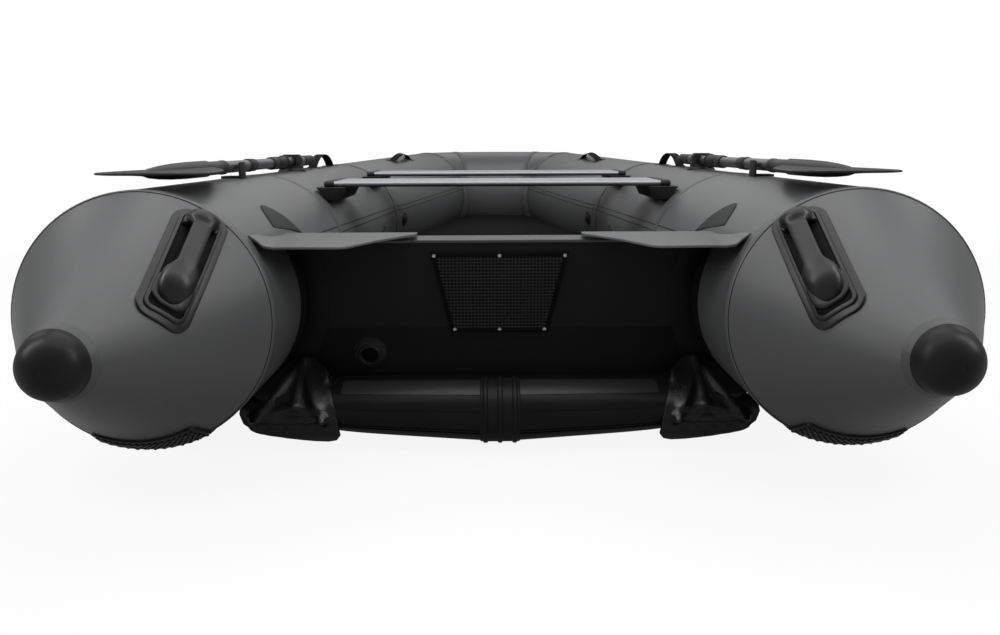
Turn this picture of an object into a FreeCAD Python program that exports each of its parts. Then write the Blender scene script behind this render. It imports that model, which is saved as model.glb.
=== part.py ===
import FreeCAD, Part
import math
import os

# Inflatable boat with a soft vee bottom, two side tubes and a rounded bow.
# Millimetres, +Z up, +Y towards the bow, +X to starboard.
# The origin is under the middle of the boat, on the floor that the keel stands on.

# Overall sizes
OVERALL_LENGTH = 3700.0
TUBE_RADIUS = 230.0
TUBE_OFFSET = 630.0        # tube centre line from the middle of the boat
TUBE_CLEARANCE = 80.0      # underside of the side tubes above the floor
SEAT_GAP = 0.2             # gap left where a curved face seats on a tube

# Stern cones and their caps
CONE_LENGTH = 285.0
CONE_TIP_RADIUS = 53.0
CONE_BULGE = 17.0          # how far the cone's side swells past a straight line
CAP_LENGTH = 40.0
CAP_SKIRT = 34.0           # cap's edge, measured forward along the cone
CAP_THICKNESS = 4.0

# Bow, made of straight runs that meet in mitres
BOW_LENGTH = 1550.0        # from the side tubes' end to the nose
BOW_RISE_ANGLE = 1.6       # the bow's plane tips up from the side tubes
NOSE_SHARE = 0.98          # half width of the nose's straight run, in tube radii
SHOULDER_SHARE = 0.84      # length of the run beside it, in tube radii
SHOULDER_ANGLE = 52.0      # that run's turn from straight ahead
MITRE_SPARE = 200.0        # length that a run has over its mitres before they are cut

# Rubbing strake
STRAKE_HEIGHT = 46.0
STRAKE_THICKNESS = 10.0
STRAKE_START = 20.0        # forward of the cone seam

# Wear pads under the tubes
PAD_THICKNESS = 8.0
PAD_HALF_ANGLE = 26.0
PAD_TURN = 3.0             # pads sit a little inboard of straight down
PAD_LENGTH = 1400.0

# Transom
TRANSOM_FORWARD = 248.0    # outer face at mid height, forward of the cone seam
TRANSOM_THICKNESS = 30.0
TRANSOM_BELOW_DECK = 31.0   # lower edge, below the air deck's underside
TRANSOM_END_COVER = 120.0   # how far the board's blank reaches past the tubes' inner sides
TRANSOM_RAKE = 10.0        # the top leans aft
TRIM_HEIGHT = 9.0
TRIM_LIP = 3.0
FLANGE_WIDTH = 48.0
FLANGE_THICKNESS = 3.0

# Gussets between the transom top and the tubes
GUSSET_TIP = 169.0
GUSSET_REACH = 200.0
GUSSET_THICKNESS = 6.0

# Motor plates
PLATE_TOP_WIDTH = 284.0
PLATE_BOTTOM_WIDTH = 204.0
PLATE_HEIGHT = 176.0
PLATE_BELOW_TOP = 24.0
PLATE_THICKNESS = 4.0
PLATE_RIM_WIDTH = 7.0
PLATE_RIM_HEIGHT = 2.0
INNER_PLATE_WIDTH = 260.0
INNER_PLATE_HEIGHT = 150.0

# Drain valve, on the port side only
VALVE_OFFSET = 273.0
VALVE_ABOVE_EDGE = 50.0
VALVE_HEX = 58.0
VALVE_HEX_THICKNESS = 14.0
VALVE_SLEEVE_RADIUS = 24.0
VALVE_BORE_RADIUS = 17.0
VALVE_FLANGE_RADIUS = 35.0
VALVE_FLANGE_THICKNESS = 4.0

# Bottom and keel
DECK_SHARE = 0.652         # air deck's underside below the tubes' centre, in tube radii
DECK_THICKNESS = 75.0
KEEL_HALF_WIDTH = 41.0
KEEL_PLATE = 3.0
KEEL_RIB = 3.0
KEEL_RIB_WIDTH = 8.0
KEEL_RIB_SPACING = 30.0
REACH_SHARE = 0.5435       # bottom fabric meets the tube this far inboard of its centre, in tube radii
ROLL_RADIUS = 62.0
FRONT_BACK = 45.0          # the bottom ends this far aft of the nose's centre line
KEEL_POWER = 2.2
DECK_AFT_GAP = 62.0        # air deck's end, forward of the transom's outer face

# Benches
BENCH_DROP = 22.0          # top, below the tubes' crest
BENCH_END_GAP = 15.7       # between a bench's lower edge and the tube beside it
BENCH_WIDTH = 200.0
BENCH_THICKNESS = 25.0
BENCH_WALL = 3.0
BENCH_CAP_LENGTH = 24.0
AFT_BENCH_FORWARD = 883.0
FORE_BENCH_FORWARD = 1617.0
BENCH_PAD_LENGTH = 84.0
BENCH_PAD_OVERHANG = 20.0
BENCH_PAD_EXTRA = 30.0
BENCH_PAD_HEIGHT = 42.0

# Carry handles on the cones, their places in tube radii and cone lengths
HANDLE_TOP = (-0.448, -0.07, 0.839)
HANDLE_LOW = (-0.543, -0.737, 0.135)
HANDLE_LENGTH = 250.0
HANDLE_WIDTH = 92.0
HANDLE_BASE = 6.0
HANDLE_RISE = 46.0
HANDLE_SPAN = 180.0
HANDLE_GRIP_WIDTH = 32.0
HANDLE_GRIP_HEIGHT = 20.0

# Oars and rowlocks
ROWLOCK_FORWARD = 1063.0
OAR_HEIGHT = 27.0         # oar's axis above the tube's crest
OAR_SHAFT_RADIUS = 14.0
OAR_WALL = 1.5
OAR_BLADE_FORWARD = 20.0
OAR_BLADE_LENGTH = 420.0
OAR_BLADE_WIDTH = 200.0
OAR_BLADE_THICKNESS = 6.0
OAR_SOCKET_LENGTH = 324.0
OAR_SHOULDER = 340.0       # where the blade narrows, from its tip
OAR_SOCKET_RADIUS = 19.0
OAR_GRIP_LENGTH = 120.0
OAR_GRIP_RADIUS = 17.0
OAR_GRIP_FORWARD = 1312.0
COLLAR_FORWARD = 823.0
COLLAR_LENGTH = 140.0
COLLAR_RADIUS = 18.0
COLLAR_LIP = 3.0
ROWLOCK_BASE_RADIUS = 52.0
ROWLOCK_BASE_HEIGHT = 8.0
ROWLOCK_PIN_RADIUS = 12.0
ROWLOCK_PIN_DEPTH = 6.0
PIN_CLEARANCE = 0.08
TURNTABLE_RADIUS = 34.0
TURNTABLE_THICKNESS = 5.0
BAIL_WIDTH = 62.0
BAIL_DEPTH = 26.0
OAR_PLAY = 1.0

# Oar clips
CLIP_FORWARD = 492.0
CLIP_LENGTH = 40.0
CLIP_GAP = 5.0
CLIP_FIN = 7.0
CLIP_BASE_WIDTH = 46.0
CLIP_BASE_HEIGHT = 5.0

# Webbing grab straps
STRAP_WIDTH = 30.0
STRAP_THICKNESS = 3.0
STRAP_LENGTH = 275.0
STRAP_RISE = 42.0
STRAP_PATCH = 60.0
STRAP_FORWARD = 1345.0
BOW_STRAP_TURN = 12.0      # inboard of the crest
BOW_STRAP_LENGTH = 220.0
BOW_STRAP_PLACE = 580.0    # its middle, ahead of the side tubes' end

# Inflation valves on the inner sides of the tubes
VALVE_DISC_RADIUS = 27.0
VALVE_DISC_HEIGHT = 10.0
VALVE_FORWARD = 1400.0
BOW_VALVE_PLACE = 95.0     # ahead of the side tubes' end

# Towing rings and bow handle
RING_OFFSET = 150.0
RING_DIP = 48.0            # below the nose's widest line
BOW_HANDLE_RISE = 42.0
RING_RADIUS = 22.0
RING_WIRE = 4.0
RING_PATCH_RADIUS = 45.0
RING_PATCH_HEIGHT = 5.0

# Worked out from the sizes above
V = FreeCAD.Vector
TUBE_Z = TUBE_CLEARANCE + TUBE_RADIUS
CREST_Z = TUBE_Z + TUBE_RADIUS
STERN_Y = -OVERALL_LENGTH / 2
SEAM_Y = STERN_Y + CAP_LENGTH + CONE_LENGTH
TRANSOM_Y = SEAM_Y + TRANSOM_FORWARD
DECK_BOTTOM = TUBE_Z - DECK_SHARE * TUBE_RADIUS
DECK_TOP = DECK_BOTTOM + DECK_THICKNESS
TRANSOM_TOP = TUBE_Z + TUBE_RADIUS / 2
TRANSOM_BOTTOM = DECK_BOTTOM - TRANSOM_BELOW_DECK
TRANSOM_MID_Z = (TRANSOM_TOP + TRANSOM_BOTTOM) / 2
TRANSOM_HALF = (TRANSOM_TOP - TRANSOM_BOTTOM) / 2
TRANSOM_BLANK = TUBE_OFFSET - TUBE_RADIUS + TRANSOM_END_COVER
KEEL_Z = KEEL_PLATE + KEEL_RIB
BOTTOM_REACH = REACH_SHARE * TUBE_RADIUS
BENCH_TOP = CREST_Z - BENCH_DROP
BENCH_SEAT_RISE = TUBE_RADIUS - BENCH_DROP - BENCH_THICKNESS
BENCH_END = TUBE_OFFSET - math.sqrt(TUBE_RADIUS ** 2 - BENCH_SEAT_RISE ** 2) - BENCH_END_GAP
OAR_Z = CREST_Z + OAR_HEIGHT
ROWLOCK_Y = SEAM_Y + ROWLOCK_FORWARD
BOW_START = OVERALL_LENGTH / 2 - BOW_LENGTH
BOW_RISE = math.radians(BOW_RISE_ANGLE)
NOSE_Y = OVERALL_LENGTH / 2 - STRAKE_THICKNESS - TUBE_RADIUS
NOSE_X = NOSE_SHARE * TUBE_RADIUS
SHOULDER = SHOULDER_SHARE * TUBE_RADIUS
SHOULDER_X = NOSE_X + SHOULDER * math.sin(math.radians(SHOULDER_ANGLE))
SHOULDER_Y = NOSE_Y - SHOULDER * math.cos(math.radians(SHOULDER_ANGLE))


def bow_point(x, y):
    return V(x, y, TUBE_Z + (y - BOW_START) * math.tan(BOW_RISE))


# Bends of the tubes' centre line, from the starboard cone seam to the port shoulder
BENDS = [
    V(TUBE_OFFSET, SEAM_Y, TUBE_Z),
    V(TUBE_OFFSET, BOW_START, TUBE_Z),
    bow_point(SHOULDER_X, SHOULDER_Y),
    bow_point(NOSE_X, NOSE_Y),
    bow_point(-NOSE_X, NOSE_Y),
    bow_point(-SHOULDER_X, SHOULDER_Y),
]
SIDE_RUN, BOW_RUN, SHOULDER_RUN, NOSE_RUN = range(4)


def save(shape, name):
    shape.exportStep("parts/" + name + ".step")


def mirrored(shape):
    return shape.mirror(V(0, 0, 0), V(1, 0, 0))


def save_pair(starboard, name):
    save(starboard, name + "_starboard")
    save(mirrored(starboard), name + "_port")


def box(x0, x1, y0, y1, z0, z1):
    return Part.makeBox(x1 - x0, y1 - y0, z1 - z0, V(x0, y0, z0))


def polygon_face(points):
    return Part.Face(Part.makePolygon(points + [points[0]]))


def rake(shape):
    """Lean an upright transom shape so that its top goes aft."""
    leaned = shape.copy()
    leaned.rotate(V(0, TRANSOM_Y, TRANSOM_MID_Z), V(1, 0, 0), TRANSOM_RAKE)
    return leaned


def round_face(x, y, z, radius):
    circle = Part.makeCircle(radius, V(x, y, z), V(0, 1, 0))
    return Part.Face(Part.Wire(circle))


def run_place(run):
    """Place of a run's start, with Y ahead along it, X outboard and Z up."""
    start, end = BENDS[run], BENDS[run + 1]
    ahead = (end - start).normalize()
    up = (V(0, 0, 1) - ahead * ahead.z).normalize()
    return FreeCAD.Placement(start, FreeCAD.Rotation(ahead.cross(up), ahead, up, "XYZ"))


def beyond(bend, side):
    """Block that fills one side of the mitre plane at a bend."""
    before = (BENDS[bend] - BENDS[bend - 1]).normalize()
    after = (BENDS[bend + 1] - BENDS[bend]).normalize()
    normal = (before + after).normalize() * side
    reach = 4 * TUBE_RADIUS
    block = Part.makeBox(2 * reach, 2 * reach, reach, V(-reach, -reach, 0))
    block.Placement = FreeCAD.Placement(BENDS[bend], FreeCAD.Rotation(V(0, 0, 1), normal))
    return block


def sweep_run(run, profile, start=0.0):
    """Sweep profile(y), a face round the tube's centre, straight along a run and trim it at the mitres."""
    length = (BENDS[run + 1] - BENDS[run]).Length
    if run > 0:
        start = -MITRE_SPARE
    piece = profile(start).extrude(V(0, length + MITRE_SPARE - start, 0))
    piece.Placement = run_place(run)
    piece = piece.cut(beyond(run + 1, 1))
    if run > 0:
        piece = piece.cut(beyond(run, -1))
    return piece


def tube_run(run, radius):
    return sweep_run(run, lambda y: round_face(0, y, 0, radius))


def side_tube(radius):
    return tube_run(SIDE_RUN, radius)


def bow_quarter(radius):
    return tube_run(BOW_RUN, radius)


def bow_middle(radius):
    """Both shoulders and the nose."""
    shoulder = tube_run(SHOULDER_RUN, radius)
    return shoulder.fuse([mirrored(shoulder), tube_run(NOSE_RUN, radius)])


def cone_profile(offset):
    """Cone's side from the seam to the cap, as one arc, moved outwards by offset."""
    along = V(CONE_TIP_RADIUS - TUBE_RADIUS, -CONE_LENGTH, 0)
    out = V(CONE_LENGTH, CONE_TIP_RADIUS - TUBE_RADIUS, 0).normalize()
    start = V(TUBE_RADIUS, 0, 0) + out * offset
    middle = start + along * 0.5 + out * CONE_BULGE
    end = start + along
    return start, middle, end


def cone(offset):
    start, middle, end = cone_profile(offset)
    edges = [
        Part.Arc(start, middle, end).toShape(),
        Part.makeLine(end, V(0, end.y, 0)),
        Part.makeLine(V(0, end.y, 0), V(0, start.y, 0)),
        Part.makeLine(V(0, start.y, 0), start),
    ]
    face = Part.Face(Part.Wire(edges))
    solid = face.revolve(V(0, 0, 0), V(0, 1, 0), 360)
    solid.translate(V(TUBE_OFFSET, SEAM_Y, TUBE_Z))
    return solid


def tubes(extra):
    """Starboard tube run, swollen by extra, as a cutting tool."""
    radius = TUBE_RADIUS + extra
    return [side_tube(radius), bow_quarter(radius)]


def tube_tools():
    starboard = tubes(SEAT_GAP)
    return starboard + [mirrored(s) for s in starboard] + [bow_middle(TUBE_RADIUS + SEAT_GAP)]


# Tubes and cones
def make_tubes():
    save_pair(side_tube(TUBE_RADIUS), "side_tube")
    save_pair(bow_quarter(TUBE_RADIUS), "bow_quarter")
    save(bow_middle(TUBE_RADIUS), "bow_middle")


def cone_cap():
    """Rounded black cap over the tip of the cone."""
    inner = cone(SEAT_GAP)
    outer = cone(CAP_THICKNESS)
    skirt_y = SEAM_Y - CONE_LENGTH + CAP_SKIRT
    reach = CONE_TIP_RADIUS * 3
    band = box(TUBE_OFFSET - reach, TUBE_OFFSET + reach, STERN_Y, skirt_y, TUBE_Z - reach, TUBE_Z + reach)
    skirt = outer.common(band).cut(inner)
    tip = cone_profile(CAP_THICKNESS)[2]
    back = SEAM_Y + tip.y
    radius = tip.x
    nose_length = back - STERN_Y
    edges = [
        Part.makeLine(V(0, 0, 0), V(radius, 0, 0)),
        Part.Arc(V(radius, 0, 0), V(radius * 0.72, -nose_length * 0.72, 0), V(0, -nose_length, 0)).toShape(),
        Part.makeLine(V(0, -nose_length, 0), V(0, 0, 0)),
    ]
    nose = Part.Face(Part.Wire(edges)).revolve(V(0, 0, 0), V(0, 1, 0), 360)
    nose.translate(V(TUBE_OFFSET, back, TUBE_Z))
    return skirt.fuse(nose).removeSplitter()


def make_cones():
    save_pair(cone(0), "stern_cone")
    save_pair(cone_cap(), "cone_cap")


# Rubbing strake
def strake_profile(y):
    """Half-round profile standing out of the tube's widest line."""
    inner = TUBE_RADIUS - 6
    outer = TUBE_RADIUS + STRAKE_THICKNESS
    half = STRAKE_HEIGHT / 2
    low_out = V(outer - 4, y, -half * 0.72)
    high_out = V(outer - 4, y, half * 0.72)
    edges = [
        Part.makeLine(V(inner, y, half), V(inner, y, -half)),
        Part.makeLine(V(inner, y, -half), low_out),
        Part.Arc(low_out, V(outer, y, 0), high_out).toShape(),
        Part.makeLine(high_out, V(inner, y, half)),
    ]
    return Part.Face(Part.Wire(edges))


def make_strakes():
    radius = TUBE_RADIUS + SEAT_GAP
    side = sweep_run(SIDE_RUN, strake_profile, STRAKE_START).cut(side_tube(radius))
    save_pair(side, "rub_strake")
    quarter = sweep_run(BOW_RUN, strake_profile)
    shoulder = sweep_run(SHOULDER_RUN, strake_profile)
    nose = sweep_run(NOSE_RUN, strake_profile)
    bow = quarter.fuse([shoulder, nose, mirrored(shoulder), mirrored(quarter)])
    bow = bow.cut([bow_quarter(radius), mirrored(bow_quarter(radius)), bow_middle(radius)])
    save(bow.removeSplitter(), "rub_strake_bow")


# Wear pads
def wear_pad():
    outer = TUBE_RADIUS + PAD_THICKNESS
    length = V(0, PAD_LENGTH, 0)
    centre = V(TUBE_OFFSET, SEAM_Y, TUBE_Z)
    ring = Part.makeCylinder(outer, PAD_LENGTH, centre, V(0, 1, 0)).cut(side_tube(TUBE_RADIUS + SEAT_GAP))
    reach = outer * 1.5
    half = math.radians(PAD_HALF_ANGLE)
    wedge = polygon_face([
        centre,
        centre + V(reach * math.sin(half), 0, -reach * math.cos(half)),
        centre + V(-reach * math.sin(half), 0, -reach * math.cos(half)),
    ])
    wedge.rotate(centre, V(0, 1, 0), PAD_TURN)
    return ring.common(wedge.extrude(length))


# Transom, in its upright place before it is raked
def transom_slab(y0, y1, half_width, z0, z1):
    return box(-half_width, half_width, TRANSOM_Y + y0, TRANSOM_Y + y1, z0, z1)


def valve_axis_point(y):
    return V(-VALVE_OFFSET, TRANSOM_Y + y, TRANSOM_BOTTOM + VALVE_ABOVE_EDGE)


def transom_board():
    slab = transom_slab(0, TRANSOM_THICKNESS, TRANSOM_BLANK, TRANSOM_BOTTOM, TRANSOM_TOP)
    hole = Part.makeCylinder(VALVE_SLEEVE_RADIUS + SEAT_GAP, TRANSOM_THICKNESS + 20,
                             valve_axis_point(-10), V(0, 1, 0))
    return rake(slab.cut(hole)).cut(tube_tools()[0]).cut(tube_tools()[2])


def transom_trim():
    """Light edging over the transom's top edge."""
    half_width = TRANSOM_BLANK
    outer = transom_slab(-TRIM_LIP, TRANSOM_THICKNESS + TRIM_LIP, half_width,
                         TRANSOM_TOP - TRIM_HEIGHT, TRANSOM_TOP + TRIM_LIP)
    inner = transom_slab(-SEAT_GAP, TRANSOM_THICKNESS + SEAT_GAP, half_width + 1,
                         TRANSOM_TOP - TRIM_HEIGHT - 1, TRANSOM_TOP)
    return rake(outer.cut(inner)).cut(tube_tools()[0]).cut(tube_tools()[2])


def transom_flanges():
    """Fabric bands that tie the transom's aft face to each tube."""
    slab = transom_slab(-FLANGE_THICKNESS, 0, TRANSOM_BLANK,
                        TRANSOM_BOTTOM, TRANSOM_TOP - TRIM_HEIGHT - 1)
    reach = TRANSOM_HALF
    band = Part.makeCylinder(TUBE_RADIUS + FLANGE_WIDTH, 2 * reach,
                             V(TUBE_OFFSET, TRANSOM_Y - reach, TUBE_Z), V(0, 1, 0))
    side = rake(slab).common(band).cut(tube_tools()[0])
    return Part.makeCompound([side, mirrored(side)])


def gusset():
    """Nearly level fabric web from the transom's top corner aft along the tube."""
    lean = math.radians(TRANSOM_RAKE)
    top_y = TRANSOM_Y - TRANSOM_HALF * math.sin(lean)
    rise = (TRANSOM_HALF + TRIM_LIP) * math.cos(lean) + (TRANSOM_THICKNESS + TRIM_LIP) * math.sin(lean)
    z0 = TRANSOM_MID_Z + rise + SEAT_GAP
    front = top_y + TRANSOM_THICKNESS
    inner_x = TUBE_OFFSET - TUBE_RADIUS
    tip = V(GUSSET_TIP, front, z0)
    aft_points = [
        V(GUSSET_TIP, top_y, z0),
        V(GUSSET_TIP + 85, top_y - GUSSET_REACH * 0.55, z0),
        V(inner_x - 65, top_y - GUSSET_REACH * 0.86, z0),
        V(inner_x, top_y - GUSSET_REACH, z0),
        V(inner_x + 50, top_y - GUSSET_REACH * 0.86, z0),
    ]
    curve = Part.BSplineCurve()
    curve.interpolate(aft_points)
    end = aft_points[-1]
    corner = V(end.x, front, z0)
    edges = [
        Part.makeLine(tip, aft_points[0]),
        curve.toShape(),
        Part.makeLine(end, corner),
        Part.makeLine(corner, tip),
    ]
    sheet = Part.Face(Part.Wire(edges)).extrude(V(0, 0, GUSSET_THICKNESS))
    return sheet.cut(tube_tools()[0])


def motor_plate():
    """Outer motor plate, a trapezoid with a raised rim."""
    top = TRANSOM_TOP - PLATE_BELOW_TOP
    bottom = top - PLATE_HEIGHT

    def outline(inset, y):
        half_top = PLATE_TOP_WIDTH / 2 - inset
        half_bottom = PLATE_BOTTOM_WIDTH / 2 - inset
        return polygon_face([
            V(-half_top, TRANSOM_Y + y, top - inset), V(half_top, TRANSOM_Y + y, top - inset),
            V(half_bottom, TRANSOM_Y + y, bottom + inset), V(-half_bottom, TRANSOM_Y + y, bottom + inset),
        ])

    plate = outline(0, 0).extrude(V(0, -PLATE_THICKNESS - PLATE_RIM_HEIGHT, 0))
    recess = outline(PLATE_RIM_WIDTH, -PLATE_THICKNESS).extrude(V(0, -PLATE_RIM_HEIGHT - 1, 0))
    return rake(plate.cut(recess))


def inner_plate():
    top = TRANSOM_TOP - PLATE_BELOW_TOP
    plate = transom_slab(TRANSOM_THICKNESS, TRANSOM_THICKNESS + PLATE_THICKNESS,
                         INNER_PLATE_WIDTH / 2, top - INNER_PLATE_HEIGHT, top)
    edges = [e for e in plate.Edges if abs(e.tangentAt(e.FirstParameter).y) > 0.99]
    return rake(plate.makeFillet(14, edges))


def drain_valve():
    centre = valve_axis_point(-VALVE_HEX_THICKNESS)
    corner = VALVE_HEX / 2 / math.cos(math.radians(30))
    points = []
    for i in range(6):
        turn = math.radians(60 * i)
        points.append(centre + V(corner * math.cos(turn), 0, corner * math.sin(turn)))
    nut = polygon_face(points).extrude(V(0, VALVE_HEX_THICKNESS - FLANGE_THICKNESS, 0))
    washer = Part.makeCylinder(VALVE_FLANGE_RADIUS, FLANGE_THICKNESS,
                               valve_axis_point(-FLANGE_THICKNESS), V(0, 1, 0))
    sleeve = Part.makeCylinder(VALVE_SLEEVE_RADIUS, TRANSOM_THICKNESS + VALVE_FLANGE_THICKNESS,
                               valve_axis_point(0), V(0, 1, 0))
    flange = Part.makeCylinder(VALVE_FLANGE_RADIUS, VALVE_FLANGE_THICKNESS,
                               valve_axis_point(TRANSOM_THICKNESS), V(0, 1, 0))
    bore = Part.makeCylinder(VALVE_BORE_RADIUS, TRANSOM_THICKNESS * 3,
                             valve_axis_point(-TRANSOM_THICKNESS), V(0, 1, 0))
    return rake(nut.fuse([washer, sleeve, flange]).cut(bore).removeSplitter())


def make_transom():
    save(transom_board(), "transom_board")
    save(transom_trim(), "transom_trim")
    save(transom_flanges(), "transom_flanges")
    side = gusset()
    save_pair(side, "transom_gusset")
    save(motor_plate(), "motor_plate")
    save(inner_plate(), "inner_plate")
    save(drain_valve(), "drain_valve")


# Bottom, keel band and air deck
def tube_centre_at(y):
    """Half width between the tube centre lines, and their height, at station y."""
    run = SIDE_RUN
    while y > BENDS[run + 1].y:
        run += 1
    start, end = BENDS[run], BENDS[run + 1]
    place = start + (end - start) * ((y - start.y) / (end.y - start.y))
    return place.x, place.z


BOTTOM_FLAT_END = BOW_START
BOTTOM_FRONT = NOSE_Y - FRONT_BACK
KEEL_FRONT_HEIGHT = tube_centre_at(BOTTOM_FRONT)[1] - math.sqrt(TUBE_RADIUS ** 2 - FRONT_BACK ** 2) - 2


def keel_z(y):
    if y <= BOTTOM_FLAT_END:
        return KEEL_Z
    share = (y - BOTTOM_FLAT_END) / (BOTTOM_FRONT - BOTTOM_FLAT_END)
    return KEEL_Z + (KEEL_FRONT_HEIGHT - KEEL_Z) * share ** KEEL_POWER


def bottom_section(y):
    """Closed section across the bottom at station y: flat keel, soft vee, round chines."""
    centre_x, centre_z = tube_centre_at(y)
    reach = centre_x - BOTTOM_REACH
    low = keel_z(y)
    side = centre_z - math.sqrt(TUBE_RADIUS ** 2 - BOTTOM_REACH ** 2)
    side = min(side, DECK_BOTTOM - 12)
    drop = side - low
    top = DECK_BOTTOM - SEAT_GAP
    room = reach - KEEL_HALF_WIDTH
    half = [
        V(KEEL_HALF_WIDTH, y, low),
        V(KEEL_HALF_WIDTH + room * 0.33, y, low + drop * 0.10),
        V(KEEL_HALF_WIDTH + room * 0.62, y, low + drop * 0.18),
        V(KEEL_HALF_WIDTH + room * 0.82, y, low + drop * 0.42),
        V(reach, y, side),
    ]
    right = Part.BSplineCurve()
    right.interpolate(half)
    left = Part.BSplineCurve()
    left.interpolate([V(-p.x, y, p.z) for p in reversed(half)])
    edges = [
        Part.makeLine(V(-KEEL_HALF_WIDTH, y, low), V(KEEL_HALF_WIDTH, y, low)),
        right.toShape(),
        Part.makeLine(V(reach, y, side), V(reach, y, top)),
        Part.makeLine(V(reach, y, top), V(-reach, y, top)),
        Part.makeLine(V(-reach, y, top), V(-reach, y, side)),
        left.toShape(),
    ]
    return Part.Wire(edges)


def bow_stations():
    count = 7
    step = (BOTTOM_FRONT - BOTTOM_FLAT_END) / (count - 1)
    return [BOTTOM_FLAT_END + step * i for i in range(count)]


ROLL_Y = TRANSOM_Y - 23.0      # centre of the rolled aft edge under the transom
ROLL_Z = KEEL_Z + ROLL_RADIUS
ROLL_FRONT = TRANSOM_Y + 100.0


def roll_profile(radius, half_width):
    """Side view of the rolled aft edge, spread across the boat."""
    x = -half_width
    under_board = TRANSOM_Y + 40
    top = V(x, ROLL_Y, ROLL_Z + radius)
    aft = V(x, ROLL_Y - radius, ROLL_Z)
    low = V(x, ROLL_Y, ROLL_Z - radius)
    outline = [
        low,
        V(x, ROLL_FRONT, ROLL_Z - radius),
        V(x, ROLL_FRONT, DECK_BOTTOM),
        V(x, under_board, DECK_BOTTOM),
        V(x, under_board, ROLL_Z + radius),
        top,
    ]
    edges = [Part.Arc(top, aft, low).toShape()]
    edges += [Part.makeLine(outline[i], outline[i + 1]) for i in range(len(outline) - 1)]
    return Part.Face(Part.Wire(edges)).extrude(V(2 * half_width, 0, 0))


def transom_space():
    """Space taken by the transom board and the flanges on its aft face."""
    slab = transom_slab(-FLANGE_THICKNESS - SEAT_GAP, TRANSOM_THICKNESS + SEAT_GAP, TUBE_OFFSET,
                        TRANSOM_BOTTOM - SEAT_GAP, TRANSOM_TOP)
    return rake(slab)


def valve_room():
    """Space round the drain valve's inner flange."""
    return rake(Part.makeCylinder(VALVE_FLANGE_RADIUS + 2, VALVE_FLANGE_THICKNESS + 4,
                                  valve_axis_point(TRANSOM_THICKNESS - 1), V(0, 1, 0)))


def hull_bottom():
    section = Part.Face(bottom_section(SEAM_Y))
    section.translate(V(0, ROLL_FRONT - SEAM_Y, 0))
    middle = section.extrude(V(0, BOTTOM_FLAT_END - ROLL_FRONT, 0))
    aft_end = ROLL_Y - ROLL_RADIUS - 5
    aft = Part.Face(bottom_section(SEAM_Y))
    aft.translate(V(0, aft_end - SEAM_Y, 0))
    aft = aft.extrude(V(0, ROLL_FRONT - aft_end, 0)).common(roll_profile(ROLL_RADIUS, TUBE_OFFSET))
    front = Part.makeLoft([bottom_section(y) for y in bow_stations()], True, False)
    whole = middle.fuse([aft, front])
    whole = whole.cut(tube_tools()).cut(transom_space()).cut(valve_room())
    return max(whole.Solids, key=lambda s: s.Volume)


def keel_strip(x0, x1, depth, lift):
    """One strip under the keel line, from the rolled edge to the bow."""
    def rectangle(y):
        z = keel_z(y) - lift
        return Part.makePolygon([
            V(x0, y, z), V(x1, y, z), V(x1, y, z - depth), V(x0, y, z - depth), V(x0, y, z)])

    flat = Part.Face(rectangle(ROLL_Y))
    flat = flat.extrude(V(0, BOTTOM_FLAT_END - ROLL_Y, 0))
    front = Part.makeLoft([rectangle(y) for y in bow_stations()], True, False)
    inner = ROLL_RADIUS + lift
    tube = Part.makeCylinder(inner + depth, x1 - x0, V(x0, ROLL_Y, ROLL_Z), V(1, 0, 0))
    hole = Part.makeCylinder(inner, x1 - x0, V(x0, ROLL_Y, ROLL_Z), V(1, 0, 0))
    reach = inner * 2
    low_side = box(x0, x1, ROLL_Y - reach, ROLL_Y, ROLL_Z - reach, ROLL_Z + ROLL_RADIUS * 0.75)
    aft = tube.cut(hole).common(low_side)
    return flat.fuse([front, aft])


def keel_band():
    """Rubber band with three ribs along the keel. The boat stands on the ribs."""
    band = keel_strip(-KEEL_HALF_WIDTH, KEEL_HALF_WIDTH, KEEL_PLATE, 0)
    ribs = []
    for x in (-KEEL_RIB_SPACING, 0, KEEL_RIB_SPACING):
        half = KEEL_RIB_WIDTH / 2
        ribs.append(keel_strip(x - half, x + half, KEEL_RIB, KEEL_PLATE))
    return band.fuse(ribs).removeSplitter()


def air_deck():
    """Inflated floor between the tubes."""
    corner = V(TUBE_OFFSET, TRANSOM_Y + DECK_AFT_GAP, 0)
    outline = [V(p.x, p.y, DECK_BOTTOM) for p in [corner] + BENDS[1:4]]
    outline += [V(-p.x, p.y, p.z) for p in reversed(outline)]
    slab = polygon_face(outline).extrude(V(0, 0, DECK_TOP - DECK_BOTTOM))
    slab = slab.cut(tube_tools())
    return max(slab.Solids, key=lambda s: s.Volume)


def make_bottom():
    save(hull_bottom(), "hull_bottom")
    save(keel_band(), "keel_band")
    save(air_deck(), "air_deck")
    save_pair(wear_pad(), "wear_pad")


# Benches
def plank_section(y_centre, x, inset=0.0):
    """Rounded plank section in a plane facing along X."""
    half = BENCH_WIDTH / 2 - inset
    z0 = BENCH_TOP - BENCH_THICKNESS + inset
    z1 = BENCH_TOP - inset
    radius = (z1 - z0) / 2
    mid = (z0 + z1) / 2
    y0, y1 = y_centre - half + radius, y_centre + half - radius
    edges = [
        Part.makeLine(V(x, y0, z0), V(x, y1, z0)),
        Part.Arc(V(x, y1, z0), V(x, y1 + radius, mid), V(x, y1, z1)).toShape(),
        Part.makeLine(V(x, y1, z1), V(x, y0, z1)),
        Part.Arc(V(x, y0, z1), V(x, y0 - radius, mid), V(x, y0, z0)).toShape(),
    ]
    return Part.Face(Part.Wire(edges))


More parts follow.
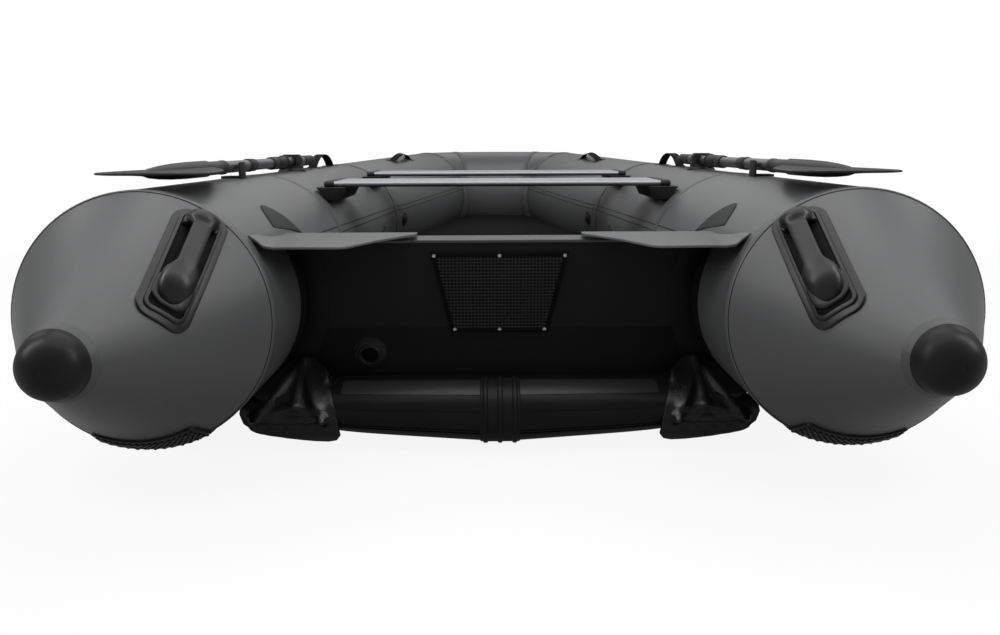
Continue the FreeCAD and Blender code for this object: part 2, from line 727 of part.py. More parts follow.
def bench_plank(y_centre):
    """Hollow extruded plank between its end caps."""
    half = BENCH_END - BENCH_CAP_LENGTH
    outer = plank_section(y_centre, -half).extrude(V(2 * half, 0, 0))
    inner = plank_section(y_centre, -half - 1, BENCH_WALL).extrude(V(2 * half + 2, 0, 0))
    return outer.cut(inner)


def bench_caps(y_centre):
    start = BENCH_END - BENCH_CAP_LENGTH
    cap = plank_section(y_centre, start).extrude(V(BENCH_CAP_LENGTH, 0, 0))
    end_edges = [e for e in cap.Edges if abs(e.BoundBox.XMin - BENCH_END) < 0.01]
    cap = cap.makeFillet(BENCH_CAP_LENGTH / 4, end_edges)
    return Part.makeCompound([cap, mirrored(cap)])


def bench_pads(y_centre):
    """Moulded rests on the tubes' inner shoulders, under the ends of a bench."""
    end = BENCH_END + BENCH_PAD_OVERHANG
    half = BENCH_WIDTH / 2 + BENCH_PAD_EXTRA
    top = BENCH_TOP - BENCH_THICKNESS
    pad = box(end - BENCH_PAD_LENGTH, end, y_centre - half, y_centre + half, top - BENCH_PAD_HEIGHT, top)
    corners = [e for e in pad.Edges if abs(e.tangentAt(e.FirstParameter).z) > 0.99]
    pad = pad.makeFillet(16, corners).cut(tube_tools()[0])
    pad = max(pad.Solids, key=lambda s: s.Volume)
    return Part.makeCompound([pad, mirrored(pad)])


def make_benches():
    for name, forward in (("aft", AFT_BENCH_FORWARD), ("fore", FORE_BENCH_FORWARD)):
        y_centre = SEAM_Y + forward
        save(bench_plank(y_centre), "bench_" + name)
        save(bench_caps(y_centre), "bench_caps_" + name)
        save(bench_pads(y_centre), "bench_pads_" + name)


# Carry handles
def handle_frame():
    """Middle of the handle on the cone, and its long, wide and outward directions."""
    top, low = (V(x * TUBE_RADIUS, y * CONE_LENGTH, z * TUBE_RADIUS) for x, y, z in (HANDLE_TOP, HANDLE_LOW))
    middle = (top + low) * 0.5
    radial = V(middle.x, 0, middle.z).normalize()
    slope = math.atan2(TUBE_RADIUS - CONE_TIP_RADIUS, CONE_LENGTH)
    out = (radial * math.cos(slope) + V(0, -1, 0) * math.sin(slope)).normalize()
    along = top - low
    along = (along - out * along.dot(out)).normalize()
    wide = out.cross(along)
    share = -middle.y / CONE_LENGTH
    bulge = CONE_BULGE * (1 - (2 * share - 1) ** 2)
    radius = TUBE_RADIUS + (CONE_TIP_RADIUS - TUBE_RADIUS) * share + bulge / math.cos(slope)
    centre = V(TUBE_OFFSET, SEAM_Y + middle.y, TUBE_Z) + radial * radius
    return centre, along, wide, out


def carry_handle():
    """Moulded handle: a base that hugs the cone, and a grip that arches over a finger gap."""
    centre, along, wide, out = handle_frame()

    def at(a, w, o):
        return centre + along * a + wide * w + out * o

    half = HANDLE_LENGTH / 2
    side = HANDLE_WIDTH / 2
    plate = polygon_face([at(-half, -side * 0.86, -60), at(half, -side, -60),
                          at(half, side, -60), at(-half, side * 0.86, -60)])
    plate = plate.extrude(out * 120)
    corners = [e for e in plate.Edges if abs(e.tangentAt(e.FirstParameter).dot(out)) > 0.99]
    plate = plate.makeFillet(side * 0.6, corners)
    base = plate.common(cone(HANDLE_BASE)).cut(cone(SEAT_GAP))
    span = HANDLE_SPAN / 2
    path = Part.Wire(Part.Arc(at(-span, 0, -12), at(0, 0, HANDLE_RISE - HANDLE_GRIP_HEIGHT / 2),
                              at(span, 0, -12)).toShape())
    start = at(-span, 0, -12)
    direction = path.Edges[0].tangentAt(path.Edges[0].FirstParameter)
    section = Part.Ellipse()
    section.MajorRadius = HANDLE_GRIP_WIDTH / 2
    section.MinorRadius = HANDLE_GRIP_HEIGHT / 2
    rim = section.toShape()
    rotation = FreeCAD.Rotation(wide, direction.cross(wide), direction, "XYZ")
    rim.Placement = FreeCAD.Placement(start, rotation)
    grip = path.makePipeShell([Part.Wire(rim)], True, True)
    grip = grip.cut(cone(SEAT_GAP))
    grip = max(grip.Solids, key=lambda s: s.Volume)
    bulb = Part.makeSphere(HANDLE_GRIP_WIDTH / 2 + 4, at(-span * 0.86, 0, 6)).cut(cone(SEAT_GAP))
    return base.fuse([grip, bulb]).removeSplitter()


# Oars and rowlocks
def rod(radius, y0, y1):
    return Part.makeCylinder(radius, y1 - y0, V(TUBE_OFFSET, y0, OAR_Z), V(0, 1, 0))


def oar_shaft():
    """Aluminium tube from inside the blade's socket to inside the grip."""
    start = SEAM_Y + OAR_BLADE_FORWARD + OAR_SOCKET_LENGTH * 0.7
    end = SEAM_Y + OAR_GRIP_FORWARD - 10
    return rod(OAR_SHAFT_RADIUS, start, end).cut(rod(OAR_SHAFT_RADIUS - OAR_WALL, start - 1, end + 1))


def oar_blade():
    """Blade that tapers to its neck, with the socket running out along its middle."""
    tip = SEAM_Y + OAR_BLADE_FORWARD
    half = OAR_BLADE_WIDTH / 2
    neck = tip + OAR_BLADE_LENGTH
    z = OAR_Z - OAR_BLADE_THICKNESS / 2
    x = TUBE_OFFSET
    left = Part.BSplineCurve()
    left.interpolate([V(x - half + 22, tip, z), V(x - half, tip + 40, z), V(x - half * 0.86, tip + 190, z),
                      V(x - half * 0.42, tip + OAR_SHOULDER, z), V(x - 16, neck, z)])
    right = Part.BSplineCurve()
    right.interpolate([V(x + 16, neck, z), V(x + half * 0.42, tip + OAR_SHOULDER, z),
                       V(x + half * 0.86, tip + 190, z), V(x + half, tip + 40, z), V(x + half - 22, tip, z)])
    edges = [
        left.toShape(),
        Part.makeLine(V(x - 16, neck, z), V(x + 16, neck, z)),
        right.toShape(),
        Part.makeLine(V(x + half - 22, tip, z), V(x - half + 22, tip, z)),
    ]
    blade = Part.Face(Part.Wire(edges)).extrude(V(0, 0, OAR_BLADE_THICKNESS))
    socket_end = tip + OAR_SOCKET_LENGTH
    spine = Part.makeCone(OAR_BLADE_THICKNESS, OAR_SOCKET_RADIUS, OAR_SOCKET_LENGTH * 0.35,
                          V(x, tip + 10, OAR_Z), V(0, 1, 0))
    socket = rod(OAR_SOCKET_RADIUS, tip + 10 + OAR_SOCKET_LENGTH * 0.35, neck)
    room = rod(OAR_SHAFT_RADIUS + SEAT_GAP, tip + OAR_SOCKET_LENGTH * 0.7 - SEAT_GAP, neck + 1)
    return blade.fuse([spine, socket]).cut(room).removeSplitter()


def oar_collar():
    start = SEAM_Y + COLLAR_FORWARD
    end = start + COLLAR_LENGTH
    sleeve = rod(COLLAR_RADIUS, start, end).cut(rod(OAR_SHAFT_RADIUS + SEAT_GAP, start - 1, end + 1))
    rim = rod(COLLAR_RADIUS + COLLAR_LIP, end - 8, end).cut(rod(OAR_SHAFT_RADIUS + SEAT_GAP, end - 9, end + 1))
    return sleeve.fuse(rim).removeSplitter()


def oar_grip():
    end = SEAM_Y + OAR_GRIP_FORWARD
    start = end - OAR_GRIP_LENGTH
    grip = rod(OAR_GRIP_RADIUS, start, end)
    ends = [e for e in grip.Edges if len(e.Vertexes) == 1]
    grip = grip.makeFillet(4, ends)
    return grip.cut(rod(OAR_SHAFT_RADIUS + SEAT_GAP, start - 1, end - 10 + SEAT_GAP))


def rowlock_base():
    """Moulded boss on the tube's crest that holds the rowlock's pin."""
    x, y = TUBE_OFFSET, ROWLOCK_Y
    top = CREST_Z + ROWLOCK_BASE_HEIGHT
    boss = Part.makeCone(ROWLOCK_BASE_RADIUS, TURNTABLE_RADIUS + 2, 26, V(x, y, top - 26), V(0, 0, 1))
    hole = Part.makeCylinder(ROWLOCK_PIN_RADIUS + PIN_CLEARANCE, 40,
                             V(x, y, top - ROWLOCK_PIN_DEPTH - 0.3), V(0, 0, 1))
    boss = boss.cut(side_tube(TUBE_RADIUS + SEAT_GAP)).cut(hole)
    return max(boss.Solids, key=lambda s: s.Volume)


def rowlock_bail():
    """Turntable with its pin, and the hoop that the oar passes through."""
    x, y = TUBE_OFFSET, ROWLOCK_Y
    low = CREST_Z + ROWLOCK_BASE_HEIGHT + 0.3
    table = Part.makeCylinder(TURNTABLE_RADIUS, TURNTABLE_THICKNESS, V(x, y, low), V(0, 0, 1))
    pin = Part.makeCylinder(ROWLOCK_PIN_RADIUS, ROWLOCK_PIN_DEPTH + 0.3,
                            V(x, y, low - ROWLOCK_PIN_DEPTH), V(0, 0, 1))
    half = BAIL_WIDTH / 2
    depth = BAIL_DEPTH / 2
    outer = box(x - half, x + half, y - depth, y + depth, low + 1, OAR_Z)
    outer = outer.fuse(Part.makeCylinder(half, BAIL_DEPTH, V(x, y - depth, OAR_Z), V(0, 1, 0)))
    flat = box(x - half, x + half, y - depth, y + depth, OAR_Z + OAR_SHAFT_RADIUS + 8, OAR_Z + half + 1)
    outer = outer.cut(flat)
    cradle = TURNTABLE_RADIUS + 1
    opening = rod(OAR_SHAFT_RADIUS + OAR_PLAY, y - cradle, y + cradle)
    skirt = box(x - TURNTABLE_RADIUS - 20, x + TURNTABLE_RADIUS + 20, y - 60, y + 60, low - 40, low)
    whole = table.fuse(outer).cut(skirt).fuse(pin)
    return whole.cut(opening).removeSplitter()


def oar_clip():
    """Low rest with an inboard fin that keeps the stowed oar from rolling in."""
    x = TUBE_OFFSET
    y0 = SEAM_Y + CLIP_FORWARD
    half = CLIP_BASE_WIDTH / 2
    base = box(x - half, x + half, y0, y0 + CLIP_LENGTH, CREST_Z - 12, CREST_Z + CLIP_BASE_HEIGHT)
    inner = x - OAR_SHAFT_RADIUS - CLIP_GAP
    fin = polygon_face([
        V(inner - CLIP_FIN, y0, CREST_Z - 12),
        V(inner, y0, CREST_Z - 12),
        V(inner, y0, OAR_Z + OAR_SHAFT_RADIUS * 0.6),
        V(inner - CLIP_FIN * 0.5, y0, OAR_Z + OAR_SHAFT_RADIUS * 0.8),
    ]).extrude(V(0, CLIP_LENGTH, 0))
    whole = base.fuse(fin).cut(side_tube(TUBE_RADIUS + SEAT_GAP)).removeSplitter()
    return max(whole.Solids, key=lambda s: s.Volume)


def make_oars():
    save_pair(oar_shaft(), "oar_shaft")
    save_pair(oar_blade(), "oar_blade")
    save_pair(oar_collar(), "oar_collar")
    save_pair(oar_grip(), "oar_grip")
    save_pair(rowlock_base(), "rowlock_base")
    save_pair(rowlock_bail(), "rowlock_bail")
    clip = oar_clip()
    save(Part.makeCompound([clip, mirrored(clip)]), "oar_clips")


# Grab straps
def strap_loop(length):
    """Webbing loop that arches between two patches, built along Y at a crest at z = 0."""
    half = length / 2
    rise = STRAP_RISE
    outer = Part.Arc(V(0, -half, 0), V(0, 0, rise), V(0, half, 0)).toShape()
    inner_start = V(0, -half + STRAP_THICKNESS * 2, 0)
    inner_end = V(0, half - STRAP_THICKNESS * 2, 0)
    inner = Part.Arc(inner_end, V(0, 0, rise - STRAP_THICKNESS), inner_start).toShape()
    edges = [
        outer,
        Part.makeLine(V(0, half, 0), inner_end),
        inner,
        Part.makeLine(inner_start, V(0, -half, 0)),
    ]
    loop = Part.Face(Part.Wire(edges)).extrude(V(STRAP_WIDTH, 0, 0))
    loop.translate(V(-STRAP_WIDTH / 2, 0, 0))
    return loop


def strap(length, crest, patch_tool):
    """Loop and its two glued patches, seated on the tube."""
    loop = strap_loop(length)
    half = length / 2
    patches = []
    for sign in (-1, 1):
        centre = V(0, sign * (half + STRAP_PATCH * 0.2), -20)
        patch = Part.makeCylinder(STRAP_PATCH / 2, 20 + STRAP_THICKNESS, centre, V(0, 0, 1))
        patches.append(patch)
    whole = loop.fuse(patches)
    whole.Placement = crest
    whole = whole.cut(patch_tool).removeSplitter()
    return max(whole.Solids, key=lambda s: s.Volume)


def make_straps():
    middle = SEAM_Y + STRAP_FORWARD + STRAP_LENGTH / 2
    place = FreeCAD.Placement(V(TUBE_OFFSET, middle, CREST_Z), FreeCAD.Rotation())
    side = strap(STRAP_LENGTH, place, side_tube(TUBE_RADIUS + SEAT_GAP))
    save(Part.makeCompound([side, mirrored(side)]), "grab_straps")
    radius = TUBE_RADIUS + SEAT_GAP
    lean = FreeCAD.Placement(V(0, BOW_STRAP_PLACE, 0), FreeCAD.Rotation(V(0, 1, 0), -BOW_STRAP_TURN))
    crest = FreeCAD.Placement(V(0, 0, TUBE_RADIUS), FreeCAD.Rotation())
    place = run_place(BOW_RUN).multiply(lean).multiply(crest)
    bow = strap(BOW_STRAP_LENGTH, place, bow_quarter(radius))
    save(Part.makeCompound([bow, mirrored(bow)]), "bow_straps")


# Inflation valves
def inflation_valve(run, forward):
    """Valve on a run's inboard side, forward from the run's start."""
    x = -TUBE_RADIUS
    seat = Part.makeCylinder(VALVE_DISC_RADIUS, 14, V(x + 8, forward, 0), V(-1, 0, 0))
    knob = Part.makeCylinder(VALVE_DISC_RADIUS * 0.62, VALVE_DISC_HEIGHT, V(x - 5, forward, 0), V(-1, 0, 0))
    valve = seat.fuse(knob)
    valve.Placement = run_place(run)
    return valve.cut(tube_run(run, TUBE_RADIUS + SEAT_GAP)).removeSplitter()


def make_valves():
    solids = []
    for run, forward in ((SIDE_RUN, VALVE_FORWARD), (BOW_RUN, BOW_VALVE_PLACE)):
        valve = inflation_valve(run, forward)
        solids += [valve, mirrored(valve)]
    save(Part.makeCompound(solids), "inflation_valves")


# Towing rings under the nose and the handle above it
def nose_place(offset, dip):
    """Place on the nose's skin, offset from the middle: Z outwards, X across the boat."""
    middle = (BENDS[NOSE_RUN + 1] - BENDS[NOSE_RUN]).Length / 2
    lean = FreeCAD.Rotation(V(0, 1, 0), 90 + dip)
    along = FreeCAD.Placement(V(0, middle - offset, 0), lean)
    skin = FreeCAD.Placement(V(0, 0, TUBE_RADIUS), FreeCAD.Rotation())
    return run_place(NOSE_RUN).multiply(along).multiply(skin)


def tow_ring(offset):
    place = nose_place(offset, RING_DIP)
    patch = Part.makeCylinder(RING_PATCH_RADIUS, RING_PATCH_HEIGHT + 20, V(0, 0, -20), V(0, 0, 1))
    patch.Placement = place
    patch = patch.common(tube_run(NOSE_RUN, TUBE_RADIUS + RING_PATCH_HEIGHT))
    ring = Part.makeTorus(RING_RADIUS, RING_WIRE, V(0, 0, RING_RADIUS + RING_WIRE), V(0, 1, 0))
    ring.Placement = place
    loop = Part.makeCylinder(RING_WIRE + 3, 24, V(0, -12, RING_WIRE), V(0, 1, 0))
    loop.Placement = place
    whole = patch.fuse([loop]).cut(tube_run(NOSE_RUN, TUBE_RADIUS + SEAT_GAP))
    whole = max(whole.Solids, key=lambda s: s.Volume)
    return whole.fuse(ring).removeSplitter()


def make_bow_fittings():
    save(Part.makeCompound([tow_ring(offset) for offset in (-RING_OFFSET, RING_OFFSET)]), "tow_rings")
    handle = strap(BOW_STRAP_LENGTH, nose_place(0, -BOW_HANDLE_RISE), tube_run(NOSE_RUN, TUBE_RADIUS + SEAT_GAP))
    save(handle, "bow_handle")


def main():
    os.makedirs("parts", exist_ok=True)
    make_tubes()
    make_cones()
    make_strakes()
    make_transom()
    make_bottom()
    make_benches()
    save_pair(carry_handle(), "carry_handle")
    make_oars()
    make_straps()
    make_valves()
    make_bow_fittings()


main()
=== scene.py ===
"""Inflatable boat with side tubes, a raked transom, benches and stowed oars, round its packed frame."""

import math
from collections import namedtuple
from functools import cache

import bmesh
import bpy
from bpy.props import FloatProperty, FloatVectorProperty, PointerProperty
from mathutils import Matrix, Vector


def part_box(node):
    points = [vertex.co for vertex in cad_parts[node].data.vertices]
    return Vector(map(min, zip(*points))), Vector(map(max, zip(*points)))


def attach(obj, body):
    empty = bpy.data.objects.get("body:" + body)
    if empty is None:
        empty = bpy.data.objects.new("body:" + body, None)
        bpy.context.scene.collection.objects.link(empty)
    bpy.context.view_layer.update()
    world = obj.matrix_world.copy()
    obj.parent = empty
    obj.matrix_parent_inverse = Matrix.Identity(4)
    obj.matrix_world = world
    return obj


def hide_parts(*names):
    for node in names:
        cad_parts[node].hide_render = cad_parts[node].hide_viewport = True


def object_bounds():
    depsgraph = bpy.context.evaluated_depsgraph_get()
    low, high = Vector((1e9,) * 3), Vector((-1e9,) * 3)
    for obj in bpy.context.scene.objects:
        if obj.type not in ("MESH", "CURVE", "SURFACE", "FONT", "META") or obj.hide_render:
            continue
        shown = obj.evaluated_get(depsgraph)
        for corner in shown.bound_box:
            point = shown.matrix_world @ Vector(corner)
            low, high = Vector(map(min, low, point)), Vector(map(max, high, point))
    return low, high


bl_info = {
    "name": "Inflatable Boat",
    "version": (1, 0, 0),
    "blender": (4, 5, 0),
    "location": "3D View > Sidebar > Boat",
    "description": "Builds the visible pieces of an inflatable boat round its packed frame",
    "category": "Object",
}

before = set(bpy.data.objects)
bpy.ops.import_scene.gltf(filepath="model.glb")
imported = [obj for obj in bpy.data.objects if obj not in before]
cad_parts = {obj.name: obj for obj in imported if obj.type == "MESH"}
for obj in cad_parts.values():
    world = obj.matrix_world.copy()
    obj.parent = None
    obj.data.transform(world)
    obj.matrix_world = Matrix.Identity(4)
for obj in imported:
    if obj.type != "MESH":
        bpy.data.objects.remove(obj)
CAD_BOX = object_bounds()

ACROSS, AHEAD, AFT, UP = Vector((1, 0, 0)), Vector((0, 1, 0)), Vector((0, -1, 0)), Vector((0, 0, 1))
ROUND = 96

# Places read from the frame, in metres
TUBE_LOW, TUBE_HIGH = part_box("side_tube_starboard")
TUBE_R = (TUBE_HIGH.x - TUBE_LOW.x) / 2
TUBE_X = TUBE_HIGH.x - TUBE_R
TUBE_Z = TUBE_HIGH.z - TUBE_R
SEAM_Y = TUBE_LOW.y
STERN_Y, BOW_Y = CAD_BOX[0].y, CAD_BOX[1].y
CONE_SEAM = Vector((TUBE_X, SEAM_Y, TUBE_Z))
CONE_LENGTH = SEAM_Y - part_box("stern_cone_starboard")[0].y
CONE_TIP = 0.047
CONE_SWELL = 0.001
CHAMBER_SEAM_AT = 0.713

# The bow's bends, partly as shares of the tube's radius
BOW_START = BOW_Y - 1.55
BOW_RISE = math.radians(1.6)
STRAKE_DEPTH = 0.010
NOSE_X, NOSE_Y = 0.98 * TUBE_R, BOW_Y - STRAKE_DEPTH - TUBE_R
SHOULDER_TURN = math.radians(52)
SHOULDER_X = NOSE_X + 0.84 * TUBE_R * math.sin(SHOULDER_TURN)
SHOULDER_Y = NOSE_Y - 0.84 * TUBE_R * math.cos(SHOULDER_TURN)

# Transom, leaning aft at its top
TRANSOM_Y = SEAM_Y + 0.248
BOARD_LOW, BOARD_HIGH = 0.129, 0.425
BOARD_MID = (BOARD_LOW + BOARD_HIGH) / 2
BOARD_HALF = (BOARD_HIGH - BOARD_LOW) / 2
BOARD_THICK = 0.030
RAKE = math.radians(10)
BOARD_UP = Vector((0, -math.sin(RAKE), math.cos(RAKE)))
BOARD_AFT = Vector((0, -math.cos(RAKE), -math.sin(RAKE)))

# Bottom, keel and deck
KEEL_HALF = 0.041
KEEL_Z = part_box("hull_bottom")[0].z
KEEL_POWER = 2.2
ROLL_R = 0.062
ROLL_Y, ROLL_Z = TRANSOM_Y - 0.023, KEEL_Z + ROLL_R
ROLL_TOP = ROLL_Z + ROLL_R
BOTTOM_FRONT = NOSE_Y - 0.045
BOTTOM_SIDE = 0.5435 * TUBE_R
DECK_LOW, DECK_HIGH = (corner.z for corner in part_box("air_deck"))

PLANK_THICK = 0.015

# Carry handle on the cone
HANDLE_AROUND = math.radians(45.1)
HANDLE_BACK = 0.1018
HANDLE_TURN = math.radians(25.06)
HANDLE_LENGTH, HANDLE_WIDTH = 0.230, 0.0925

OAR_Z = TUBE_Z + TUBE_R + 0.027
OAR_TIP = SEAM_Y + 0.020
BLADE_LENGTH = 0.42


# Small sums


def smooth(share):
    share = min(max(share, 0.0), 1.0)
    return share * share * (3 - 2 * share)


def spread(start, end, count):
    return [start + (end - start) * i / (count - 1) for i in range(count)]


def turns(steps):
    """Angles of a whole turn."""
    return [math.tau * k / steps for k in range(steps)]


def squared(value, power):
    """A sine or cosine drawn towards a square by a power below one, with its sign kept."""
    return math.copysign(abs(value) ** power, value)


# The tubes' centre line and places on their skins


def bow_point(x, y):
    return Vector((x, y, TUBE_Z + (y - BOW_START) * math.tan(BOW_RISE)))


BENDS = [CONE_SEAM, Vector((TUBE_X, BOW_START, TUBE_Z))]
BENDS += [bow_point(SHOULDER_X, SHOULDER_Y), bow_point(NOSE_X, NOSE_Y)]
BENDS += [Vector((-p.x, p.y, p.z)) for p in reversed(BENDS)]
RUNS = []
BEND_AT = [0.0]
for first, second in zip(BENDS, BENDS[1:]):
    ahead = (second - first).normalized()
    up = (UP - ahead * ahead.z).normalized()
    RUNS.append((first, ahead, up, up.cross(ahead), (second - first).length))
    BEND_AT.append(BEND_AT[-1] + RUNS[-1][4])
MITRES = [RUNS[0][1]] + [(a[1] + b[1]).normalized() for a, b in zip(RUNS, RUNS[1:])] + [RUNS[-1][1]]
NOSE_AT = (BEND_AT[3] + BEND_AT[4]) / 2


def on_tube(at, around, lift=0.0):
    """Point on the skin, at metres ahead of the starboard cone seam, around radians inboard of the crest."""
    run = 0
    while run < len(RUNS) - 1 and at > BEND_AT[run + 1]:
        run += 1
    start, ahead, up, inboard, length = RUNS[run]
    radius = TUBE_R + lift
    out = up * (radius * math.cos(around)) + inboard * (radius * math.sin(around))
    near = -out.dot(MITRES[run]) / ahead.dot(MITRES[run])
    far = length - out.dot(MITRES[run + 1]) / ahead.dot(MITRES[run + 1])
    return start + out + ahead * (near + (far - near) * (at - BEND_AT[run]) / length)


def skin_frame(at, around, lift=0.0):
    """Point on the skin with the directions ahead, inboard and outwards there."""
    step = 0.002
    ahead = (on_tube(at + step, around) - on_tube(at - step, around)).normalized()
    inboard = (on_tube(at, around + step) - on_tube(at, around - step)).normalized()
    return on_tube(at, around, lift), ahead, inboard, ahead.cross(inboard).normalized()


def cone_radius(back):
    """Radius of the stern cone, back metres aft of its seam."""
    share = back / CONE_LENGTH
    return TUBE_R + (CONE_TIP - TUBE_R) * share + CONE_SWELL * (1 - (2 * share - 1) ** 2)


def cone_slope(back):
    return math.atan2(cone_radius(back - 0.002) - cone_radius(back + 0.002), 0.004)


def on_cone(back, around, lift=0.0):
    slope = cone_slope(back)
    radius = cone_radius(back) + lift * math.cos(slope)
    aft = back + lift * math.sin(slope)
    return CONE_SEAM + Vector((-radius * math.sin(around), -aft, radius * math.cos(around)))


def on_board(x, up, lift=0.0):
    """Point by the transom: x across, up along the board from its middle, lift aft of its outer face."""
    return Vector((x, TRANSOM_Y, BOARD_MID)) + BOARD_UP * up + BOARD_AFT * lift


def tube_inner_x(z, grow=0.0):
    """How far the side tube's inboard face is from the middle of the boat at a height."""
    return TUBE_X - math.sqrt(max((TUBE_R + grow) ** 2 - (z - TUBE_Z) ** 2, 0))


def board_edge(up, grow, lift):
    """Half width of the transom at a height along it, where it meets the tube."""
    return tube_inner_x(on_board(0, up, lift).z, grow)


def centre_at(y):
    """Half width between the tubes' centre lines, and their height, at a station y."""
    run = 0
    while run < 2 and y > BENDS[run + 1].y:
        run += 1
    start, end = BENDS[run], BENDS[run + 1]
    point = start + (end - start) * ((y - start.y) / (end.y - start.y))
    return point.x, point.z


KEEL_FRONT_Z = centre_at(BOTTOM_FRONT)[1] - math.sqrt(TUBE_R ** 2 - 0.045 ** 2) - 0.002


def keel_z(y):
    if y <= BOW_START:
        return KEEL_Z
    share = (y - BOW_START) / (BOTTOM_FRONT - BOW_START)
    return KEEL_Z + (KEEL_FRONT_Z - KEEL_Z) * share ** KEEL_POWER


# Mesh tools


def edge_loop_of(verts):
    chosen = set(verts)
    return list({e for v in verts for e in v.link_edges if e.other_vert(v) in chosen})


def verts_in(geom):
    return [g for g in geom if isinstance(g, bmesh.types.BMVert)]


def cloth_layer(bm):
    """Vertex layer with each point's flat place on its cloth, in metres."""
    return bm.verts.layers.float_vector["cloth"]


def fresh_mesh(source=None):
    bm = bmesh.new()
    if source:
        bm.from_mesh(source)
    bm.verts.layers.float_vector.new("cloth")
    return bm


def loft(bm, rings, closed=False, flats=None):
    """Skin through rings of points: a circle is extruded from ring to ring, its points put in place."""
    flat = cloth_layer(bm)
    verts = list(bmesh.ops.create_circle(bm, segments=len(rings[0]), radius=1.0)["verts"])
    edges = start_edges = edge_loop_of(verts)
    made = [verts]
    for _ in rings[1:]:
        before = set(verts)
        partner = {}
        for v in verts_in(bmesh.ops.extrude_edge_only(bm, edges=edges)["geom"]):
            for e in v.link_edges:
                if e.other_vert(v) in before:
                    partner[e.other_vert(v)] = v
        verts = [partner[v] for v in verts]
        edges = edge_loop_of(verts)
        made.append(verts)
    run = 0.0
    for i, (ring, row) in enumerate(zip(rings, made)):
        if i:
            run += (ring[0] - rings[i - 1][0]).length
        turn = 0.0
        for k, (vert, point) in enumerate(zip(row, ring)):
            if k:
                turn += (point - ring[k - 1]).length
            vert.co = point
            vert[flat] = flats[i][k] if flats else (run, turn, 0)
    if closed:
        bmesh.ops.bridge_loops(bm, edges=start_edges + edges)
    else:
        bmesh.ops.edgeloop_fill(bm, edges=start_edges)
        bmesh.ops.edgeloop_fill(bm, edges=edges)
    return bm


def turned(bm, profile, centre, axis=AHEAD, steps=48, flat_scale=1.0):
    """Spin a profile of (radius, along) points round an axis through centre into a closed shape."""
    side = axis.orthogonal().normalized()
    other = axis.cross(side)
    flat = cloth_layer(bm)
    before = set(bm.verts)
    verts = [bm.verts.new(centre + side * r + axis * a) for r, a in profile]
    edges = [bm.edges.new(ends) for ends in zip(verts, verts[1:])]
    bmesh.ops.spin(bm, geom=verts + edges, cent=centre, axis=axis, angle=math.tau, steps=steps,
                   use_merge=True)
    bmesh.ops.remove_doubles(bm, verts=[v for v in bm.verts if v not in before], dist=1e-6)
    for v in bm.verts:
        if v not in before:
            out = v.co - centre
            v[flat] = (out.dot(axis), math.atan2(out.dot(other), out.dot(side)) * flat_scale, 0)
    return bm


def hoop(bm, centre, axis, first, profile, steps):
    """Closed ring of a profile of (radius, along) points round an axis, begun in the direction first."""
    second = axis.cross(first)
    outs = [first * math.cos(t) + second * math.sin(t) for t in turns(steps)]
    return loft(bm, [[centre + out * r + axis * a for r, a in profile] for out in outs], closed=True)


def torus(bm, centre, axis, radius, wire, steps=40, sides=12):
    profile = [(radius + wire * math.cos(t), wire * math.sin(t)) for t in turns(sides)]
    return hoop(bm, centre, axis, axis.orthogonal().normalized(), profile, steps)


def wrap(verts, bm, place):
    """Lay flat geometry on a curved surface, and keep where it was flat for its weave."""
    flat = cloth_layer(bm)
    for v in verts:
        v[flat] = v.co
        v.co = place(*v.co)


def cut_across(bm, verts, at, axis, **keys):
    """Cut the faces round some points by a plane at a place along an axis."""
    normal = Vector((0, 0, 0))
    normal[axis] = 1
    faces = {f for v in verts for f in v.link_faces}
    edges = {e for f in faces for e in f.edges}
    return bmesh.ops.bisect_plane(bm, geom=[*verts, *edges, *faces], dist=1e-6, plane_co=normal * at,
                                  plane_no=normal, **keys)["geom_cut"]


def sliced(bm, verts, cell):
    """Cut flat geometry into cells, so that it can follow a curve."""
    low = Vector(map(min, *(v.co for v in verts)))
    high = Vector(map(max, *(v.co for v in verts)))
    for axis in (0, 1):
        place = math.floor(low[axis] / cell) * cell + cell
        while place < high[axis] - 1e-4:
            mine = list({v for v in verts if v.is_valid})
            verts = mine + verts_in(cut_across(bm, mine, place, axis))
            place += cell
    return [v for v in set(verts) if v.is_valid]


def raised_face(bm, points, rise):
    """Slab between a face through points and its copy moved by rise; gives its lower and upper corners."""
    corners = [bm.verts.new(p) for p in points]
    new = bmesh.ops.extrude_face_region(bm, geom=[bm.faces.new(corners)], use_keep_orig=True)["geom"]
    top = verts_in(new)
    bmesh.ops.translate(bm, verts=top, vec=rise)
    return corners, top


def rounded(bm, edges, width, segments=2, **keys):
    return bmesh.ops.bevel(bm, geom=edges, offset=width, segments=segments, profile=0.5, affect="EDGES",
                           material=-1, **keys)["verts"]


def patch(bm, outline, height, place, edge, base, cell=0.010):
    """Glued patch: an outline raised by height with a softened rim, sliced and laid on a surface."""
    corners, top = raised_face(bm, [(x, y, base) for x, y in outline], UP * height)
    fresh = rounded(bm, edge_loop_of(top), edge)
    verts = list({v for v in corners + top if v.is_valid} | set(fresh))
    wrap(sliced(bm, verts, cell), bm, place)
    return bm


def tube_patch(bm, outline, height, at, around, edge, base, cell=0.010):
    """Patch glued on the tube's skin, its outline in metres from a place there."""

    def place(x, y, lift):
        return on_tube(at + x, around + y / TUBE_R, lift)

    return patch(bm, outline, height, place, edge, base, cell)


